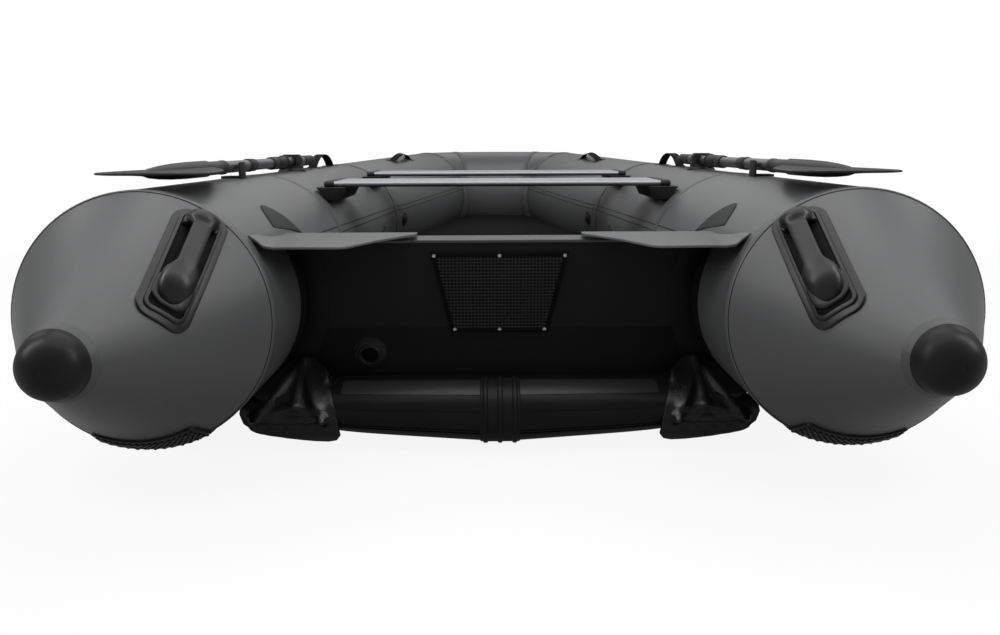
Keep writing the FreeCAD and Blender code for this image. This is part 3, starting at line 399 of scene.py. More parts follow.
def ribbon(bm, stations, half_width, half_thick):
    """Flat band swept through stations of (point, across, normal)."""
    upper = [(1, 0.4), (0.95, 1), (0.5, 1), (0, 1), (-0.5, 1), (-0.95, 1), (-1, 0.4)]
    shape = [(half_width * a, half_thick * b) for a, b in upper + [(-a, -b) for a, b in upper]]
    rings, flats, run = [], [], 0.0
    for i, (point, across, normal) in enumerate(stations):
        if i:
            run += (point - stations[i - 1][0]).length
        rings.append([point + across * a + normal * b for a, b in shape])
        flats.append([(run, a, b) for a, b in shape])
    loft(bm, rings, flats=flats)


def bar(bm, start, end, across, out, half, height):
    """Low straight bar with a softened top, between two points on a face."""
    shape = ((-half, 0), (-half, 0.7 * height), (-half * 0.6, height), (half * 0.6, height),
             (half, 0.7 * height), (half, 0))
    loft(bm, [[p + across * a + out * b for a, b in shape] for p in (start, end)])


def rounded_outline(length, width, corner, steps=8, x=0.0, y=0.0):
    """Rounded rectangle round a place."""
    points = []
    for sx, sy, start in ((1, 1, 0), (-1, 1, 90), (-1, -1, 180), (1, -1, 270)):
        cx, cy = sx * (length / 2 - corner) + x, sy * (width / 2 - corner) + y
        for i in range(steps + 1):
            turn = math.radians(start + 90 * i / steps)
            points.append((cx + corner * math.cos(turn), cy + corner * math.sin(turn)))
    return points


def disc_outline(radius, steps=36):
    return [(radius * math.cos(t), radius * math.sin(t)) for t in turns(steps)]


def other_side(bm):
    """Add the mirror image of what is there, for pieces that come in one node for both sides."""
    made = bmesh.ops.duplicate(bm, geom=bm.verts[:] + bm.edges[:] + bm.faces[:])["geom"]
    bmesh.ops.scale(bm, verts=verts_in(made), vec=(-1, 1, 1))
    bmesh.ops.reverse_faces(bm, faces=[g for g in made if isinstance(g, bmesh.types.BMFace)])


def linked(name, data):
    obj = bpy.data.objects.new(name, data)
    bpy.context.scene.collection.objects.link(obj)
    return obj


def mesh_object(bm, name):
    mesh = bpy.data.meshes.new(name)
    bm.to_mesh(mesh)
    bm.free()
    return linked(name, mesh)


SCENE_ONLY = ()


def finish(bm, name, look, nodes=None, slot=None, body="boat", sharp=38.0):
    """Make the mesh an object that rides on its body and stands for the node of its name, or for nodes."""
    bmesh.ops.recalc_face_normals(bm, faces=bm.faces[:])
    for edge in bm.edges:
        edge.smooth = len(edge.link_faces) != 2 or edge.calc_face_angle(0) < math.radians(sharp)
    for face in bm.faces:
        face.smooth = True
    obj = mesh_object(bm, name)
    obj.data.materials.append(surface(look))
    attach(obj, body)
    slot or FINISHES[look].slot
    if nodes is None:
        nodes = (name,)
    if nodes:
        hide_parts(*nodes)
    return obj


def pair(bm, name, look, nodes=None, slot=None, body="boat", sharp=38.0):
    """Finish a starboard piece and its port twin."""
    copy = bm.copy()
    bmesh.ops.scale(copy, verts=copy.verts[:], vec=(-1, 1, 1))
    return [finish(mesh, name + side, look, nodes, slot, body if body == "boat" else body + side, sharp)
            for mesh, side in ((bm, "_starboard"), (copy, "_port"))]


def softened(name, width, segments=2):
    """A node's shape with its edges rounded, as a new mesh."""
    bm = fresh_mesh(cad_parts[name].data)
    bmesh.ops.remove_doubles(bm, verts=bm.verts[:], dist=2e-5)
    bmesh.ops.dissolve_limit(bm, angle_limit=math.radians(3), verts=bm.verts[:], edges=bm.edges[:])
    edges = [e for e in bm.edges if len(e.link_faces) == 2 and e.calc_face_angle(0) > math.radians(35)]
    rounded(bm, edges, width, segments, clamp_overlap=True)
    wrap(bm.verts, bm, lambda x, y, z: (x, y, z))
    return bm


# Materials


def node(tree, kind, **inputs):
    """Add a shader node: small names are settings, I0 and I1 numbered sockets, others named sockets."""
    made = tree.nodes.new("ShaderNode" + kind)
    for key in sorted(inputs, key=lambda k: not k[0].islower()):
        value = inputs[key]
        if isinstance(value, bpy.types.Node):
            value = value.outputs[0]
        if key[0].islower():
            setattr(made, key, value)
            continue
        socket = made.inputs[int(key[1:]) if key[1:].isdigit() else key.replace("_", " ")]
        if isinstance(value, bpy.types.NodeSocket):
            tree.links.new(value, socket)
        else:
            socket.default_value = value
    return made


def maths(tree, operation, *sockets):
    return node(tree, "Math", operation=operation, **{"I" + str(i): value for i, value in enumerate(sockets)})


def new_group(name, scale, *outputs):
    """Node group that takes a place and a scale: gives its tree, these two sockets and its outputs."""
    tree = bpy.data.node_groups.new(name, "ShaderNodeTree")
    tree.interface.new_socket("Vector", in_out="INPUT", socket_type="NodeSocketVector")
    tree.interface.new_socket("Scale", in_out="INPUT", socket_type="NodeSocketFloat").default_value = scale
    for label in outputs:
        tree.interface.new_socket(label, in_out="OUTPUT", socket_type="NodeSocketFloat")
    given = tree.nodes.new("NodeGroupInput").outputs
    return tree, given["Vector"], given["Scale"], tree.nodes.new("NodeGroupOutput").inputs


@cache
def weave_group():
    """Plain weave that shows through a coat, as a height."""
    tree, place, scale, out = new_group("Woven Base", 1500.0, "Height")
    parts = node(tree, "SeparateXYZ", I0=node(tree, "VectorMath", operation="SCALE", I0=place, Scale=scale))
    warp, weft = (maths(tree, "SINE", parts.outputs[i]) for i in (0, 1))
    both = maths(tree, "MULTIPLY", warp, weft)
    tree.links.new(both.outputs[0], out["Height"])
    return tree


@cache
def mottle_group():
    """Slow blotches and faint rub marks, as two masks."""
    tree, place, scale, out = new_group("Mottle", 4.0, "Blotches", "Rubs")
    slow = node(tree, "TexNoise", Vector=place, Scale=scale, Detail=4.0, Roughness=0.55)
    blotches = node(tree, "MapRange", Value=slow.outputs["Fac"], From_Min=0.3, From_Max=0.7)
    fine = maths(tree, "MULTIPLY", scale, 9.0)
    stretched = node(tree, "VectorMath", operation="MULTIPLY", I0=place, I1=(1.0, 0.22, 1.0))
    marks = node(tree, "TexNoise", Vector=stretched, Scale=fine, Detail=7.0, Roughness=0.7)
    rubs = node(tree, "MapRange", Value=marks.outputs["Fac"], From_Min=0.56, From_Max=0.72)
    tree.links.new(blotches.outputs[0], out["Blotches"])
    tree.links.new(rubs.outputs[0], out["Rubs"])
    return tree


@cache
def grain_group():
    """Fine pebbled grain of moulded plastic and rubber, as a height."""
    tree, place, scale, out = new_group("Moulded Grain", 900.0, "Height")
    cells = node(tree, "TexVoronoi", Vector=place, Scale=scale)
    tree.links.new(cells.outputs["Distance"], out["Height"])
    return tree


@cache
def webbing_group():
    """Herringbone of woven webbing, with its ribs along the strap, as a height."""
    tree, place, scale, out = new_group("Webbing Twill", 2100.0, "Height")
    parts = node(tree, "SeparateXYZ", I0=node(tree, "VectorMath", operation="SCALE", I0=place, Scale=scale))
    side = maths(tree, "ABSOLUTE", parts.outputs[1])
    slanted = maths(tree, "ADD", parts.outputs[0], side)
    wave = maths(tree, "SINE", slanted)
    ribs = maths(tree, "COSINE", parts.outputs[1])
    both = maths(tree, "MULTIPLY_ADD", ribs, 0.5, wave)
    tree.links.new(both.outputs[0], out["Height"])
    return tree


RELIEFS = {"weave": weave_group, "grain": grain_group, "webbing": webbing_group}

# Colour times share is the finish's tone. Change and uneven say how far its tone and roughness vary, and scale
# how fine the blotches are. Rub is the strength of rub marks, and pitch and depth belong to the relief.
Finish = namedtuple(
    "Finish", "slot colour share rough shine change uneven scale rub relief pitch depth metal", defaults=(0.0,))
FINISHES = {
    "tube_cloth": Finish("tube_fabric", "tubes", 1, 0.32, 0.5, 0.05, 0.03, 2, 0.04, "weave", 5200, 6e-5),
    "seam_tape": Finish("tube_fabric", "tubes", 0.82, 0.42, 0.5, 0.05, 0.03, 3, 0.05, "weave", 5200, 6e-5),
    # Dark copy of the tube fabric: the own tone of the leaf patches and long seams, and a painted shadow line
    # at the cone tape's edge.
    "dark_cloth": Finish("tube_fabric", "tubes", 0.32, 0.5, 0.14, 0.06, 0.03, 3, 0.05, "weave", 5200, 6e-5),
    "black_rubber": Finish("black_rubber", "rubber", 1, 0.36, 0.17, 0.15, 0.05, 6, 0.08, "grain", 1300, 8e-5),
    "moulded_rubber": Finish(
        "moulded_rubber", "mouldings", 1, 0.36, 0.44, 0.12, 0.05, 9, 0.08, "grain", 1100, 12e-5),
    "bottom_cloth": Finish(
        "bottom_fabric", "bottom", 0.4, 0.31, 0.22, 0.18, 0.05, 5, 0.12, "weave", 5200, 6e-5),
    "boot_cloth": Finish(
        "bottom_fabric", "bottom", 0.4, 0.27, 0.45, 0.18, 0.05, 5, 0.12, "weave", 5200, 6e-5),
    "lap_cloth": Finish("bottom_fabric", "bottom", 0.45, 0.5, 0.14, 0.12, 0.04, 5, 0.1, "weave", 5200, 6e-5),
    # Roll tape: a glued tape made far lighter and glossier than the bottom fabric, its tone a painted highlight
    # along the roll's top.
    "roll_tape": Finish("bottom_fabric", "bottom", 1.3, 0.36, 0.5, 0.1, 0.04, 5, 0.1, "weave", 5200, 6e-5),
    "black_plastic": Finish(
        "black_plastic", "plastic", 1, 0.42, 0.22, 0.12, 0.06, 8, 0.12, "grain", 1500, 7e-5),
    # Grid ribs: the plate's own black plastic made almost twice as light, a painted highlight on the ribs' lit
    # tops.
    "plate_grid": Finish("black_plastic", "plastic", 1.9, 0.42, 0.2, 0.1, 0.05, 8, 0.12, "grain", 1500, 5e-5),
    # A near-black copy of the plastic for the motor plate, the drain plug and the handle trays: painted shade
    # in their recesses.
    "shaded_recess": Finish(
        "black_plastic", "plastic", 0.15, 0.6, 0.12, 0.12, 0.05, 8, 0.1, "grain", 1200, 8e-5),
    "board_skin": Finish(
        "transom_laminate", "transom", 1, 0.44, 0.12, 0.12, 0.05, 5, 0.15, "grain", 700, 10e-5),
    "light_edging": Finish("light_trim", "edging", 1, 0.38, 0.5, 0.06, 0.05, 9, 0.2, "grain", 1500, 4e-5),
    # The deck's colour is far darker than its grey fabric: painted shade over the deck between the tubes.
    "deck_cloth": Finish("deck_fabric", "deck", 1, 0.72, 0.02, 0.1, 0.05, 6, 0.15, "weave", 900, 50e-5),
    "bench_metal": Finish(
        "bench_aluminium", "aluminium", 1, 0.46, 0.5, 0.05, 0.05, 8, 0.2, "grain", 2200, 4e-5, 1),
    "shaft_metal": Finish(
        "shaft_aluminium", "aluminium", 0.6, 0.38, 0.5, 0.06, 0.05, 9, 0.25, "grain", 2200, 3e-5, 1),
    "blade_plastic": Finish(
        "blade_plastic", "blades", 1, 0.45, 0.5, 0.12, 0.06, 7, 0.15, "grain", 900, 10e-5),
    "woven_webbing": Finish(
        "webbing", "webbing", 0.7, 0.66, 0.06, 0.15, 0.05, 12, 0.12, "webbing", 2100, 40e-5),
    "bright_steel": Finish("ring_steel", "steel", 1, 0.2, 0.5, 0.06, 0.05, 20, 0.2, "grain", 2500, 2e-5, 1),
}


def cleared(data):
    """Node tree of a new material or world, emptied."""
    data.use_nodes = True
    data.node_tree.nodes.clear()
    return data.node_tree


@cache
def surface(name):
    """A finish with slow tone changes, rub marks and a fine relief."""
    spec = FINISHES[name]
    colour = [c * spec.share for c in getattr(bpy.context.scene.boat_colours, spec.colour)]
    look = bpy.data.materials.new(name)
    tree = cleared(look)
    where = node(tree, "TexCoord").outputs["Object"]
    blot = node(tree, "Group", node_tree=mottle_group(), Vector=where, Scale=spec.scale).outputs
    dark, light = ([c * (1 + sign * spec.change) for c in colour] + [1.0] for sign in (-1, 1))
    mixed = node(tree, "Mix", data_type="RGBA", Factor=blot["Blotches"], I6=dark, I7=light)
    scuff = maths(tree, "MULTIPLY", blot["Rubs"], spec.rub)
    worn_tone = [min(c * 1.35 + 0.002, 1) for c in colour] + [1.0]
    rubbed = node(tree, "Mix", data_type="RGBA", Factor=scuff, I6=mixed.outputs[2], I7=worn_tone)
    uneven = node(tree, "MapRange", Value=blot["Blotches"], To_Min=spec.rough - spec.uneven,
                  To_Max=spec.rough + spec.uneven)
    worn = maths(tree, "MULTIPLY_ADD", blot["Rubs"], spec.uneven, uneven)
    if spec.relief != "grain":
        where = node(tree, "Attribute", attribute_name="cloth").outputs["Vector"]
    fine = node(tree, "Group", node_tree=RELIEFS[spec.relief](), Vector=where, Scale=spec.pitch)
    bump = node(tree, "Bump", Distance=spec.depth, Strength=0.6, Height=fine)
    shader = node(tree, "BsdfPrincipled", Base_Color=rubbed.outputs[2], Roughness=worn, Metallic=spec.metal,
                  Specular_IOR_Level=spec.shine, Normal=bump)
    node(tree, "OutputMaterial", I0=shader)
    return look


# The boat's pieces


def make_tube_skin():
    """One fabric skin round both tubes and the bow, drawn in and puckered a little at its mitres."""
    stops = [0.0, 0.02, 0.05, 0.12, BEND_AT[-1] - 0.02]
    for run, (start, end) in enumerate(zip(BEND_AT, BEND_AT[1:])):
        *near, last = [0.010, 0.028, 0.055, 0.095, 0.15] if end - start > 0.5 else [0.010, 0.03, 0.055]
        stops += [end] + [end - n for n in near] + [start + n for n in near if run]
        stops += spread(start + last, end - last, max(int((end - start) / 0.11), 2))
    rings, flats = [], []
    for at in sorted({round(s, 4) for s in stops}):
        pull = math.exp(-(min(abs(at - b) for b in BEND_AT[1:-1]) / 0.045) ** 2)
        ring = []
        for around in (math.pi + t for t in turns(ROUND)):
            pucker = 0.0011 * pull * (0.35 + max(math.sin(around), 0)) * math.sin(around * 23 + at * 7)
            ring.append(on_tube(at, around, -0.0015 * pull + pucker))
        rings.append(ring)
        flats.append([(at, t * TUBE_R, 0) for t in turns(ROUND)])
    sides = [n + s for n in ("side_tube_", "bow_quarter_") for s in ("port", "starboard")]
    skin = finish(loft(fresh_mesh(), rings, flats=flats), "tube_skin", "tube_cloth", sides + ["bow_middle"])


def make_seam_tapes():
    """Tape over the tubes' cross seams, all round and even across a mitre."""
    half, lift = 0.016, 0.0011
    shape = ((-half, -0.0006), (-half, 0.4 * lift), (-half + 0.0015, lift), (0.0, lift + 0.0003),
             (half - 0.0015, lift), (half, 0.4 * lift), (half, -0.0006))
    flats = [[(s, t * TUBE_R, 0) for s, _ in shape] for t in turns(ROUND)]
    bm = fresh_mesh()
    for at in [CHAMBER_SEAM_AT] + BEND_AT[1:4]:
        rings = [[on_tube(at + s, t, rise) for s, rise in shape] for t in turns(ROUND)]
        loft(bm, rings, closed=True, flats=flats)
    other_side(bm)
    finish(bm, "seam_tapes", "seam_tape", SCENE_ONLY)


def make_cones():
    """Stern cones, the tape over their seams and the dark line at the tape's edge."""
    profile = [(0.0, 0.0), (TUBE_R - 0.03, 0.0), (TUBE_R, 0.0)]
    profile += [(cone_radius(b), -b) for b in spread(0.006, CONE_LENGTH, 26)] + [(0.0, -CONE_LENGTH)]
    bm = turned(fresh_mesh(), profile, CONE_SEAM, AHEAD, ROUND, TUBE_R)
    for obj in pair(bm, "stern_cone", "tube_cloth"):
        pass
    lift, under = TUBE_R + 0.0010, TUBE_R - 0.001
    profile = [(cone_radius(0.004) + 0.0002, 0.004), (cone_radius(0.003) + 0.0010, 0.003), (lift, 0.0004),
               (lift, -0.0190), (TUBE_R + 0.0003, -0.0200), (under, -0.019), (under, 0.0),
               (cone_radius(0.003) - 0.001, 0.003)]
    bm = hoop(fresh_mesh(), CONE_SEAM, AFT, ACROSS, profile, ROUND)
    pair(bm, "cone_seam_tape", "tube_cloth", SCENE_ONLY)
    # A thin dark ring at the tape's aft edge: painted shadow of the tape.
    back = 0.0034
    line = torus(fresh_mesh(), CONE_SEAM + AFT * back, AHEAD, cone_radius(back) + 0.0002, 0.0009, 120, 8)
    pair(line, "cone_seam_line", "dark_cloth", SCENE_ONLY)


def make_cone_caps():
    """Round rubber cap over the cone's tip, seated on a ring of tape."""
    skirt, thick = 0.004, 0.0034
    back = CONE_LENGTH - skirt
    edge, tip = cone_radius(back), cone_radius(CONE_LENGTH)
    nose = -(SEAM_Y - STERN_Y - CONE_LENGTH)
    profile = [(0.0, 0.0005), (tip, 0.0), (edge + 0.0003, skirt), (edge + thick * 0.6, skirt + 0.0006),
               (edge + thick, skirt - 0.0008)]
    profile += [((tip + thick) * math.cos(t) ** 0.94, nose * math.sin(t) ** 1.08)
                for t in spread(0.06, math.pi / 2, 16)[:-1]]
    profile += [(0.0046, nose * 0.9945), (0.0040, nose * 0.985), (0.0, nose * 0.985)]
    pair(turned(fresh_mesh(), profile, CONE_SEAM + AFT * CONE_LENGTH, AHEAD, 72), "cone_cap", "black_rubber")
    start, end = back - 0.014, back + 0.003
    profile = [(cone_radius(b) - 0.0006, b) for b in spread(end, start, 4)]
    profile += [(cone_radius(b) + 0.0010, b) for b in spread(start + 0.001, end, 6)]
    pair(hoop(fresh_mesh(), CONE_SEAM, AFT, ACROSS, profile, 72), "cone_tip_tape", "seam_tape", SCENE_ONLY)


def strake_ring(at, swell=1.0):
    """Section of the rubbing strake: a flanged band with two grooves, at the tube's widest line."""
    side = ((-23, -1.5), (-23, 0.8), (-19.5, 2.4), (-16.5, 7.2), (-12.5, 9.6), (-8.5, 10), (-7, 7.4),
            (-5.5, 7.4), (-4, 10))
    shape = (*side, (0, 10), *((-h, lift) for h, lift in reversed(side)), (12, -2.2), (-12, -2.2))
    return [on_tube(at, -math.pi / 2 + h / 1000 / TUBE_R, lift * (swell if lift > 0 else 1.0) / 1000)
            for h, lift in shape]


def make_strakes():
    """Rubbing strakes: a long one on each side, tapered in at its aft end, and one round the bow."""
    start = 0.020
    stops = [start + 0.015] + spread(start + 0.05, BEND_AT[1] - 0.02, 20) + [BEND_AT[1]]
    rings = [strake_ring(start, 0.25), strake_ring(start + 0.004, 0.75)] + [strake_ring(at) for at in stops]
    pair(loft(fresh_mesh(), rings), "rub_strake", "black_rubber")
    stops = [at for run in range(1, 6) for at in spread(BEND_AT[run], BEND_AT[run + 1], 12)[:-1]]
    rings = [strake_ring(at) for at in stops + [BEND_AT[6]]]
    finish(loft(fresh_mesh(), rings), "rub_strake_bow", "black_rubber")


def make_wear_pads():
    """Rubber pads under the tubes, with slanting ribs."""
    half, middle = math.radians(26) * TUBE_R, math.pi - math.radians(3)
    length, aft, margin, slant = 1.4, 0.050, 0.010, 0.9
    reach = length + aft

    def place(x, y, lift):
        return on_tube(x, middle + y / TUBE_R, lift) if x > 0 else on_cone(-x, middle + y / TUBE_R, lift)

    outline = rounded_outline(reach, 2 * half, 0.012, 6, reach / 2 - aft)
    pair(patch(fresh_mesh(), outline, 0.0050, place, 0.0015, -0.0006, 0.012), "wear_pad", "black_rubber")
    bm = fresh_mesh()
    pitch = bpy.context.scene.boat_sizes.pad_rib_pitch
    low, high = -half + margin, half - margin
    for i in range(int((reach + 2 * half) / pitch)):
        x = i * pitch - half + margin - aft
        x0, x1 = x + low * slant, x + high * slant
        corners = ((x0, low), (x0 + pitch * 0.5, low), (x1 + pitch * 0.5, high), (x1, high))
        raised_face(bm, [(a, b, 0.0040) for a, b in corners], UP * 0.0026)
    for at, keys in ((margin - aft, {"clear_inner": True}), (length - margin, {"clear_outer": True})):
        cut = cut_across(bm, bm.verts[:], at, 0, **keys)
        bmesh.ops.holes_fill(bm, edges=[g for g in cut if isinstance(g, bmesh.types.BMEdge)])
    for y in spread(low, high, 13)[1:-1]:
        cut_across(bm, bm.verts[:], y, 1)
    wrap(bm.verts, bm, place)
    pair(bm, "wear_pad_ribs", "black_rubber", SCENE_ONLY)


def board_sheet(bm, points, lift, thick, edge):
    """Flat sheet on the transom, through places (across, up)."""
    _, top = raised_face(bm, [on_board(x, u, lift) for x, u in points], BOARD_AFT * thick)
    if edge:
        rounded(bm, edge_loop_of(top), edge)
    return bm


def board_slab(bm, low, high, lift, thick, inset, edge):
    """Flat slab across the transom whose ends follow the tubes."""
    right = [(board_edge(u, inset, lift), u) for u in spread(low, high, 24)]
    return board_sheet(bm, right + [(-x, u) for x, u in reversed(right)], lift, thick, edge)


def make_transom():
    """Board, the cloth laps low on its face and the light edging over its top."""
    bm = board_slab(fresh_mesh(), -BOARD_HALF, BOARD_HALF - 0.001, -BOARD_THICK, BOARD_THICK, 0.003, 0)
    finish(bm, "transom_board", "board_skin")
    bm = fresh_mesh()
    board_slab(bm, -BOARD_HALF + 0.001, -BOARD_HALF + 0.105, 0.0002, 0.0016, 0.004, 0.0006)
    board_slab(bm, -BOARD_HALF - 0.006, -BOARD_HALF + 0.029, 0.0018, 0.0016, 0.004, 0.0006)
    finish(bm, "transom_lower_cloth", "lap_cloth", SCENE_ONLY)
    reach = board_edge(BOARD_HALF, 0.0, 0) + 0.004
    lip, high, fore = 0.0018, 0.004, -BOARD_THICK
    shape = ((lip, -high), (lip, lip * 0.4), (lip * 0.4, lip), (fore - lip * 0.4, lip),
             (fore - lip, lip * 0.4), (fore - lip, -high), (fore + 0.001, -high), (fore + 0.001, -0.002),
             (-0.001, -0.002), (-0.001, -high))
    rings = [[on_board(x, BOARD_HALF + rise, lift) for lift, rise in shape]
             for x in spread(-reach, reach, 12)]
    finish(loft(fresh_mesh(), rings), "transom_trim", "light_edging")


def make_transom_flanges():
    """Fabric bands that hold the transom to each tube, on the board and along the tube."""
    bm = fresh_mesh()
    thick = 0.0026
    ups = spread(-BOARD_HALF + 0.002, BOARD_HALF - 0.012, 30)
    outer, inner = ([(board_edge(u, grow, 0), u) for u in ups] for grow in (-0.001, 0.048))
    board_sheet(bm, outer + inner[::-1], 0.0002, thick, 0.0008)
    stations = []
    for u in ups:
        around = math.acos((on_board(0, u, 0).z - TUBE_Z) / TUBE_R)
        point, ahead, _, out = skin_frame(on_board(0, u, thick).y - SEAM_Y - 0.020, around, 0.0014)
        stations.append((point, ahead, out))
    ribbon(bm, stations, 0.022, 0.0011)
    other_side(bm)
    finish(bm, "transom_flanges", "lap_cloth")


def make_gussets():
    """Fabric webs from the transom's top corners aft along the tubes, with their laps and patches."""
    top_y = on_board(0, BOARD_HALF, 0).y
    front, tip = top_y + 0.030, 0.169
    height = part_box("transom_gusset_starboard")[0].z + 0.003
    inner = TUBE_X - TUBE_R
    aft = ((tip, 0.0), (0.20, -0.045), (0.254, -0.110), (0.30, -0.150), (0.335, -0.172), (0.372, -0.192),
           (0.400, -0.200), (0.425, -0.198), (0.452, -0.185))
    wall = aft[-1][0] + 0.004
    outline = [(x, top_y + y) for x, y in aft]
    outline += [(wall, top_y - 0.1), (wall, front), (0.30, front), (tip, front)]

    def place(x, y, lift):
        """The web sags a little between its edges and curls up along the tube, the more so further aft."""
        share = smooth((inner - x) / (inner - tip))
        sag = -0.010 * (1 - abs(2 * share - 1)) + 0.020 * smooth((x - 0.412) / 0.040)
        return Vector((x, y, height + lift + sag * smooth((top_y - y) / 0.2)))

    web = patch(fresh_mesh(), outline, 0.0045, place, 0.0012, -0.0022, 0.014)
    pair(web, "transom_gusset", "tube_cloth", sharp=50)
    lap = ((0.020, 62), (0.022, 52.5), (0.12, 51.5), (0.25, 52), (0.32, 59.5), (0.44, 65.5), (0.445, 73),
           (0.26, 70), (0.10, 66))
    leaf = ((0.200, 51), (0.215, 45), (0.236, 39.5), (0.252, 37.2), (0.266, 37.4), (0.290, 41), (0.318, 48),
            (0.345, 58), (0.352, 60), (0.30, 56.5), (0.25, 54.0), (0.225, 52.8))
    for name, look, outline, base in (("gusset_laps", "seam_tape", lap, -0.0004),
                                      ("gusset_leaf_patches", "dark_cloth", leaf, 0.0009)):
        outline = [(s, math.radians(a) * TUBE_R) for s, a in outline]
        pair(tube_patch(fresh_mesh(), outline, 0.0012, 0, 0, 0.0005, base, 0.012), name, look, SCENE_ONLY)


def screw(bm, place, out, radius):
    """Pan head screw with a dimple."""
    turned(bm, [(0.0, 0.0004), (radius * 0.30, 0.0005), (radius * 0.36, 0.0018), (radius * 0.75, 0.0015),
                (radius, 0.0006), (radius, -0.0010), (0.0, -0.0010)], place, out, 20)


def make_motor_plates():
    """Plate on the transom's aft face, with rim, square grid and six screws, and a plain plate inside."""
    top = BOARD_HALF - 0.024
    bottom = top - 0.176
    half_top, half_bottom = 0.142, 0.102
    floor, rise, half_bar, pitch, margin = 0.0036, 0.0014, 0.0011, 0.0071, 0.009
    corners = ((-half_top, top), (half_top, top), (half_bottom, bottom), (-half_bottom, bottom))
    bm = board_sheet(fresh_mesh(), corners, 0.0008, 0.0050, 0.0015)
    bmesh.ops.recalc_face_normals(bm, faces=bm.faces[:])
    raised = max(bm.faces, key=lambda f: (f.calc_area() if f.normal.dot(BOARD_AFT) > 0.9 else 0))
    for width, depth in ((0.0055, 0), (0.0015, -0.0022)):
        bmesh.ops.inset_region(bm, faces=[raised], thickness=width, depth=depth)
    # The whole plate takes the near-black copy of its plastic: painted shade between the grid's ribs.
    finish(bm, "motor_plate", "shaded_recess", sharp=30)
    bm = fresh_mesh()
    u = bottom + 0.012
    while u < top - margin:
        reach = half_bottom + (half_top - half_bottom) * (u - bottom) / (top - bottom) - margin
        bar(bm, on_board(-reach, u, floor), on_board(reach, u, floor), BOARD_UP, BOARD_AFT, half_bar, rise)
        u += pitch
    x = -half_top + 0.012
    while x < half_top - 0.010:
        over = (abs(x) + margin - half_bottom) / (half_top - half_bottom)
        start = bottom + margin + max(over, 0) * (top - bottom)
        if start < top - 0.02:
            end = on_board(x, top - margin, floor)
            bar(bm, on_board(x, start, floor), end, ACROSS, BOARD_AFT, half_bar, rise)
        x += pitch
    # The ribs take a lighter copy of the plate's plastic: painted highlight on their tops.
    finish(bm, "motor_plate_grid", "plate_grid", SCENE_ONLY, sharp=30)
    bm = fresh_mesh()
    for u, reach in ((top - 0.007, 0.134), (bottom + 0.007, 0.094)):
        for x in (-reach, 0, reach):
            screw(bm, on_board(x, u, 0.0056), BOARD_AFT, 0.0042)
    finish(bm, "motor_plate_screws", "bright_steel", SCENE_ONLY)
    finish(softened("inner_plate", 0.0012), "inner_plate", "black_plastic")


def make_drain_valve():
    """Hex nut from the solids, a round collar on it and a dark plug in its bore."""
    finish(softened("drain_valve", 0.0012), "drain_valve", "black_plastic")
    middle = on_board(-0.273, -BOARD_HALF + 0.050)
    collar = [(0.0225, 0.0), (0.0240, 0.0035), (0.0215, 0.0055), (0.0185, 0.0055), (0.0172, 0.0035),
              (0.0172, -0.02), (0.0225, -0.02)]
    bm = hoop(fresh_mesh(), middle + BOARD_AFT * 0.012, BOARD_AFT, ACROSS, collar, 48)
    finish(bm, "drain_valve_collar", "black_plastic", SCENE_ONLY)
    # The plug is a near-black copy of the valve's plastic: painted shade in the bore.
    plug = [(0.0, 0.0048), (0.0120, 0.0048), (0.0171, 0.0042), (0.0171, 0.0018), (0.0, 0.0018)]
    finish(turned(fresh_mesh(), plug, middle, BOARD_AFT, 40), "drain_plug", "shaded_recess", SCENE_ONLY)


def bottom_low(x, y):
    """Underside of the bottom at a place: a soft vee from the keel to the tube."""
    centre_x, centre_z = centre_at(y)
    side = min(centre_z - math.sqrt(TUBE_R ** 2 - BOTTOM_SIDE ** 2), DECK_LOW - 0.012)
    share = min(max(abs(x) - KEEL_HALF, 0) / (centre_x - BOTTOM_SIDE - KEEL_HALF), 1.0)
    low = keel_z(y)
    return low + (side - low) * (0.30 * share + 0.70 * share ** 7)


def bottom_ring(y):
    """Closed section of the bottom."""
    reach = centre_at(y)[0] - BOTTOM_SIDE
    half = 36
    ring = [Vector((x, y, bottom_low(x, y))) for x in (reach * (i / half - 1) for i in range(2 * half + 1))]
    return ring + [Vector((reach * (1 - i / half), y, DECK_LOW - 0.001)) for i in range(1, 2 * half)]


def make_bottom():
    """Bottom fabric: a rolled aft edge under the transom, a soft vee and a rise to the nose."""
    rings = []
    is_low = DECK_LOW - 0.0011
    for i in range(13):
        turn = math.pi / 2 * i / 12
        y = ROLL_Y - ROLL_R * math.cos(turn)
        ring = []
        for p in bottom_ring(y):
            low = bottom_low(p.x, y)
            high = max(ROLL_TOP, low + 0.02)
            reach = (high - low) / 2 * max(math.sin(turn), 0.02)
            narrow = 1 - 0.02 * (1 - math.sin(turn))
            ring.append(Vector((p.x * narrow, y, (low + high) / 2 + (-reach if p.z < is_low else reach))))
        rings.append(ring)
    for y, top in ((TRANSOM_Y + 0.036, ROLL_TOP), (TRANSOM_Y + 0.042, DECK_LOW - 0.001)):
        rings.append([Vector((p.x, y, p.z if p.z < is_low else top)) for p in bottom_ring(y)])
    for y in spread(ROLL_Y + 0.11, BOW_START, 22) + spread(BOW_START + 0.03, BOTTOM_FRONT, 26):
        rings.append(bottom_ring(y))
    finish(loft(fresh_mesh(), rings), "hull_bottom", "bottom_cloth")


def ridge(x, z, start, end, width, height):
    """Height of a rounded fold that runs between two places."""
    run_x, run_z = end[0] - start[0], end[1] - start[1]
    share = ((x - start[0]) * run_x + (z - start[1]) * run_z) / (run_x ** 2 + run_z ** 2)
    share = min(max(share, 0.0), 1.0)
    off = math.hypot(x - start[0] - run_x * share, z - start[1] - run_z * share)
    return height * math.exp(-(off / width) ** 2)


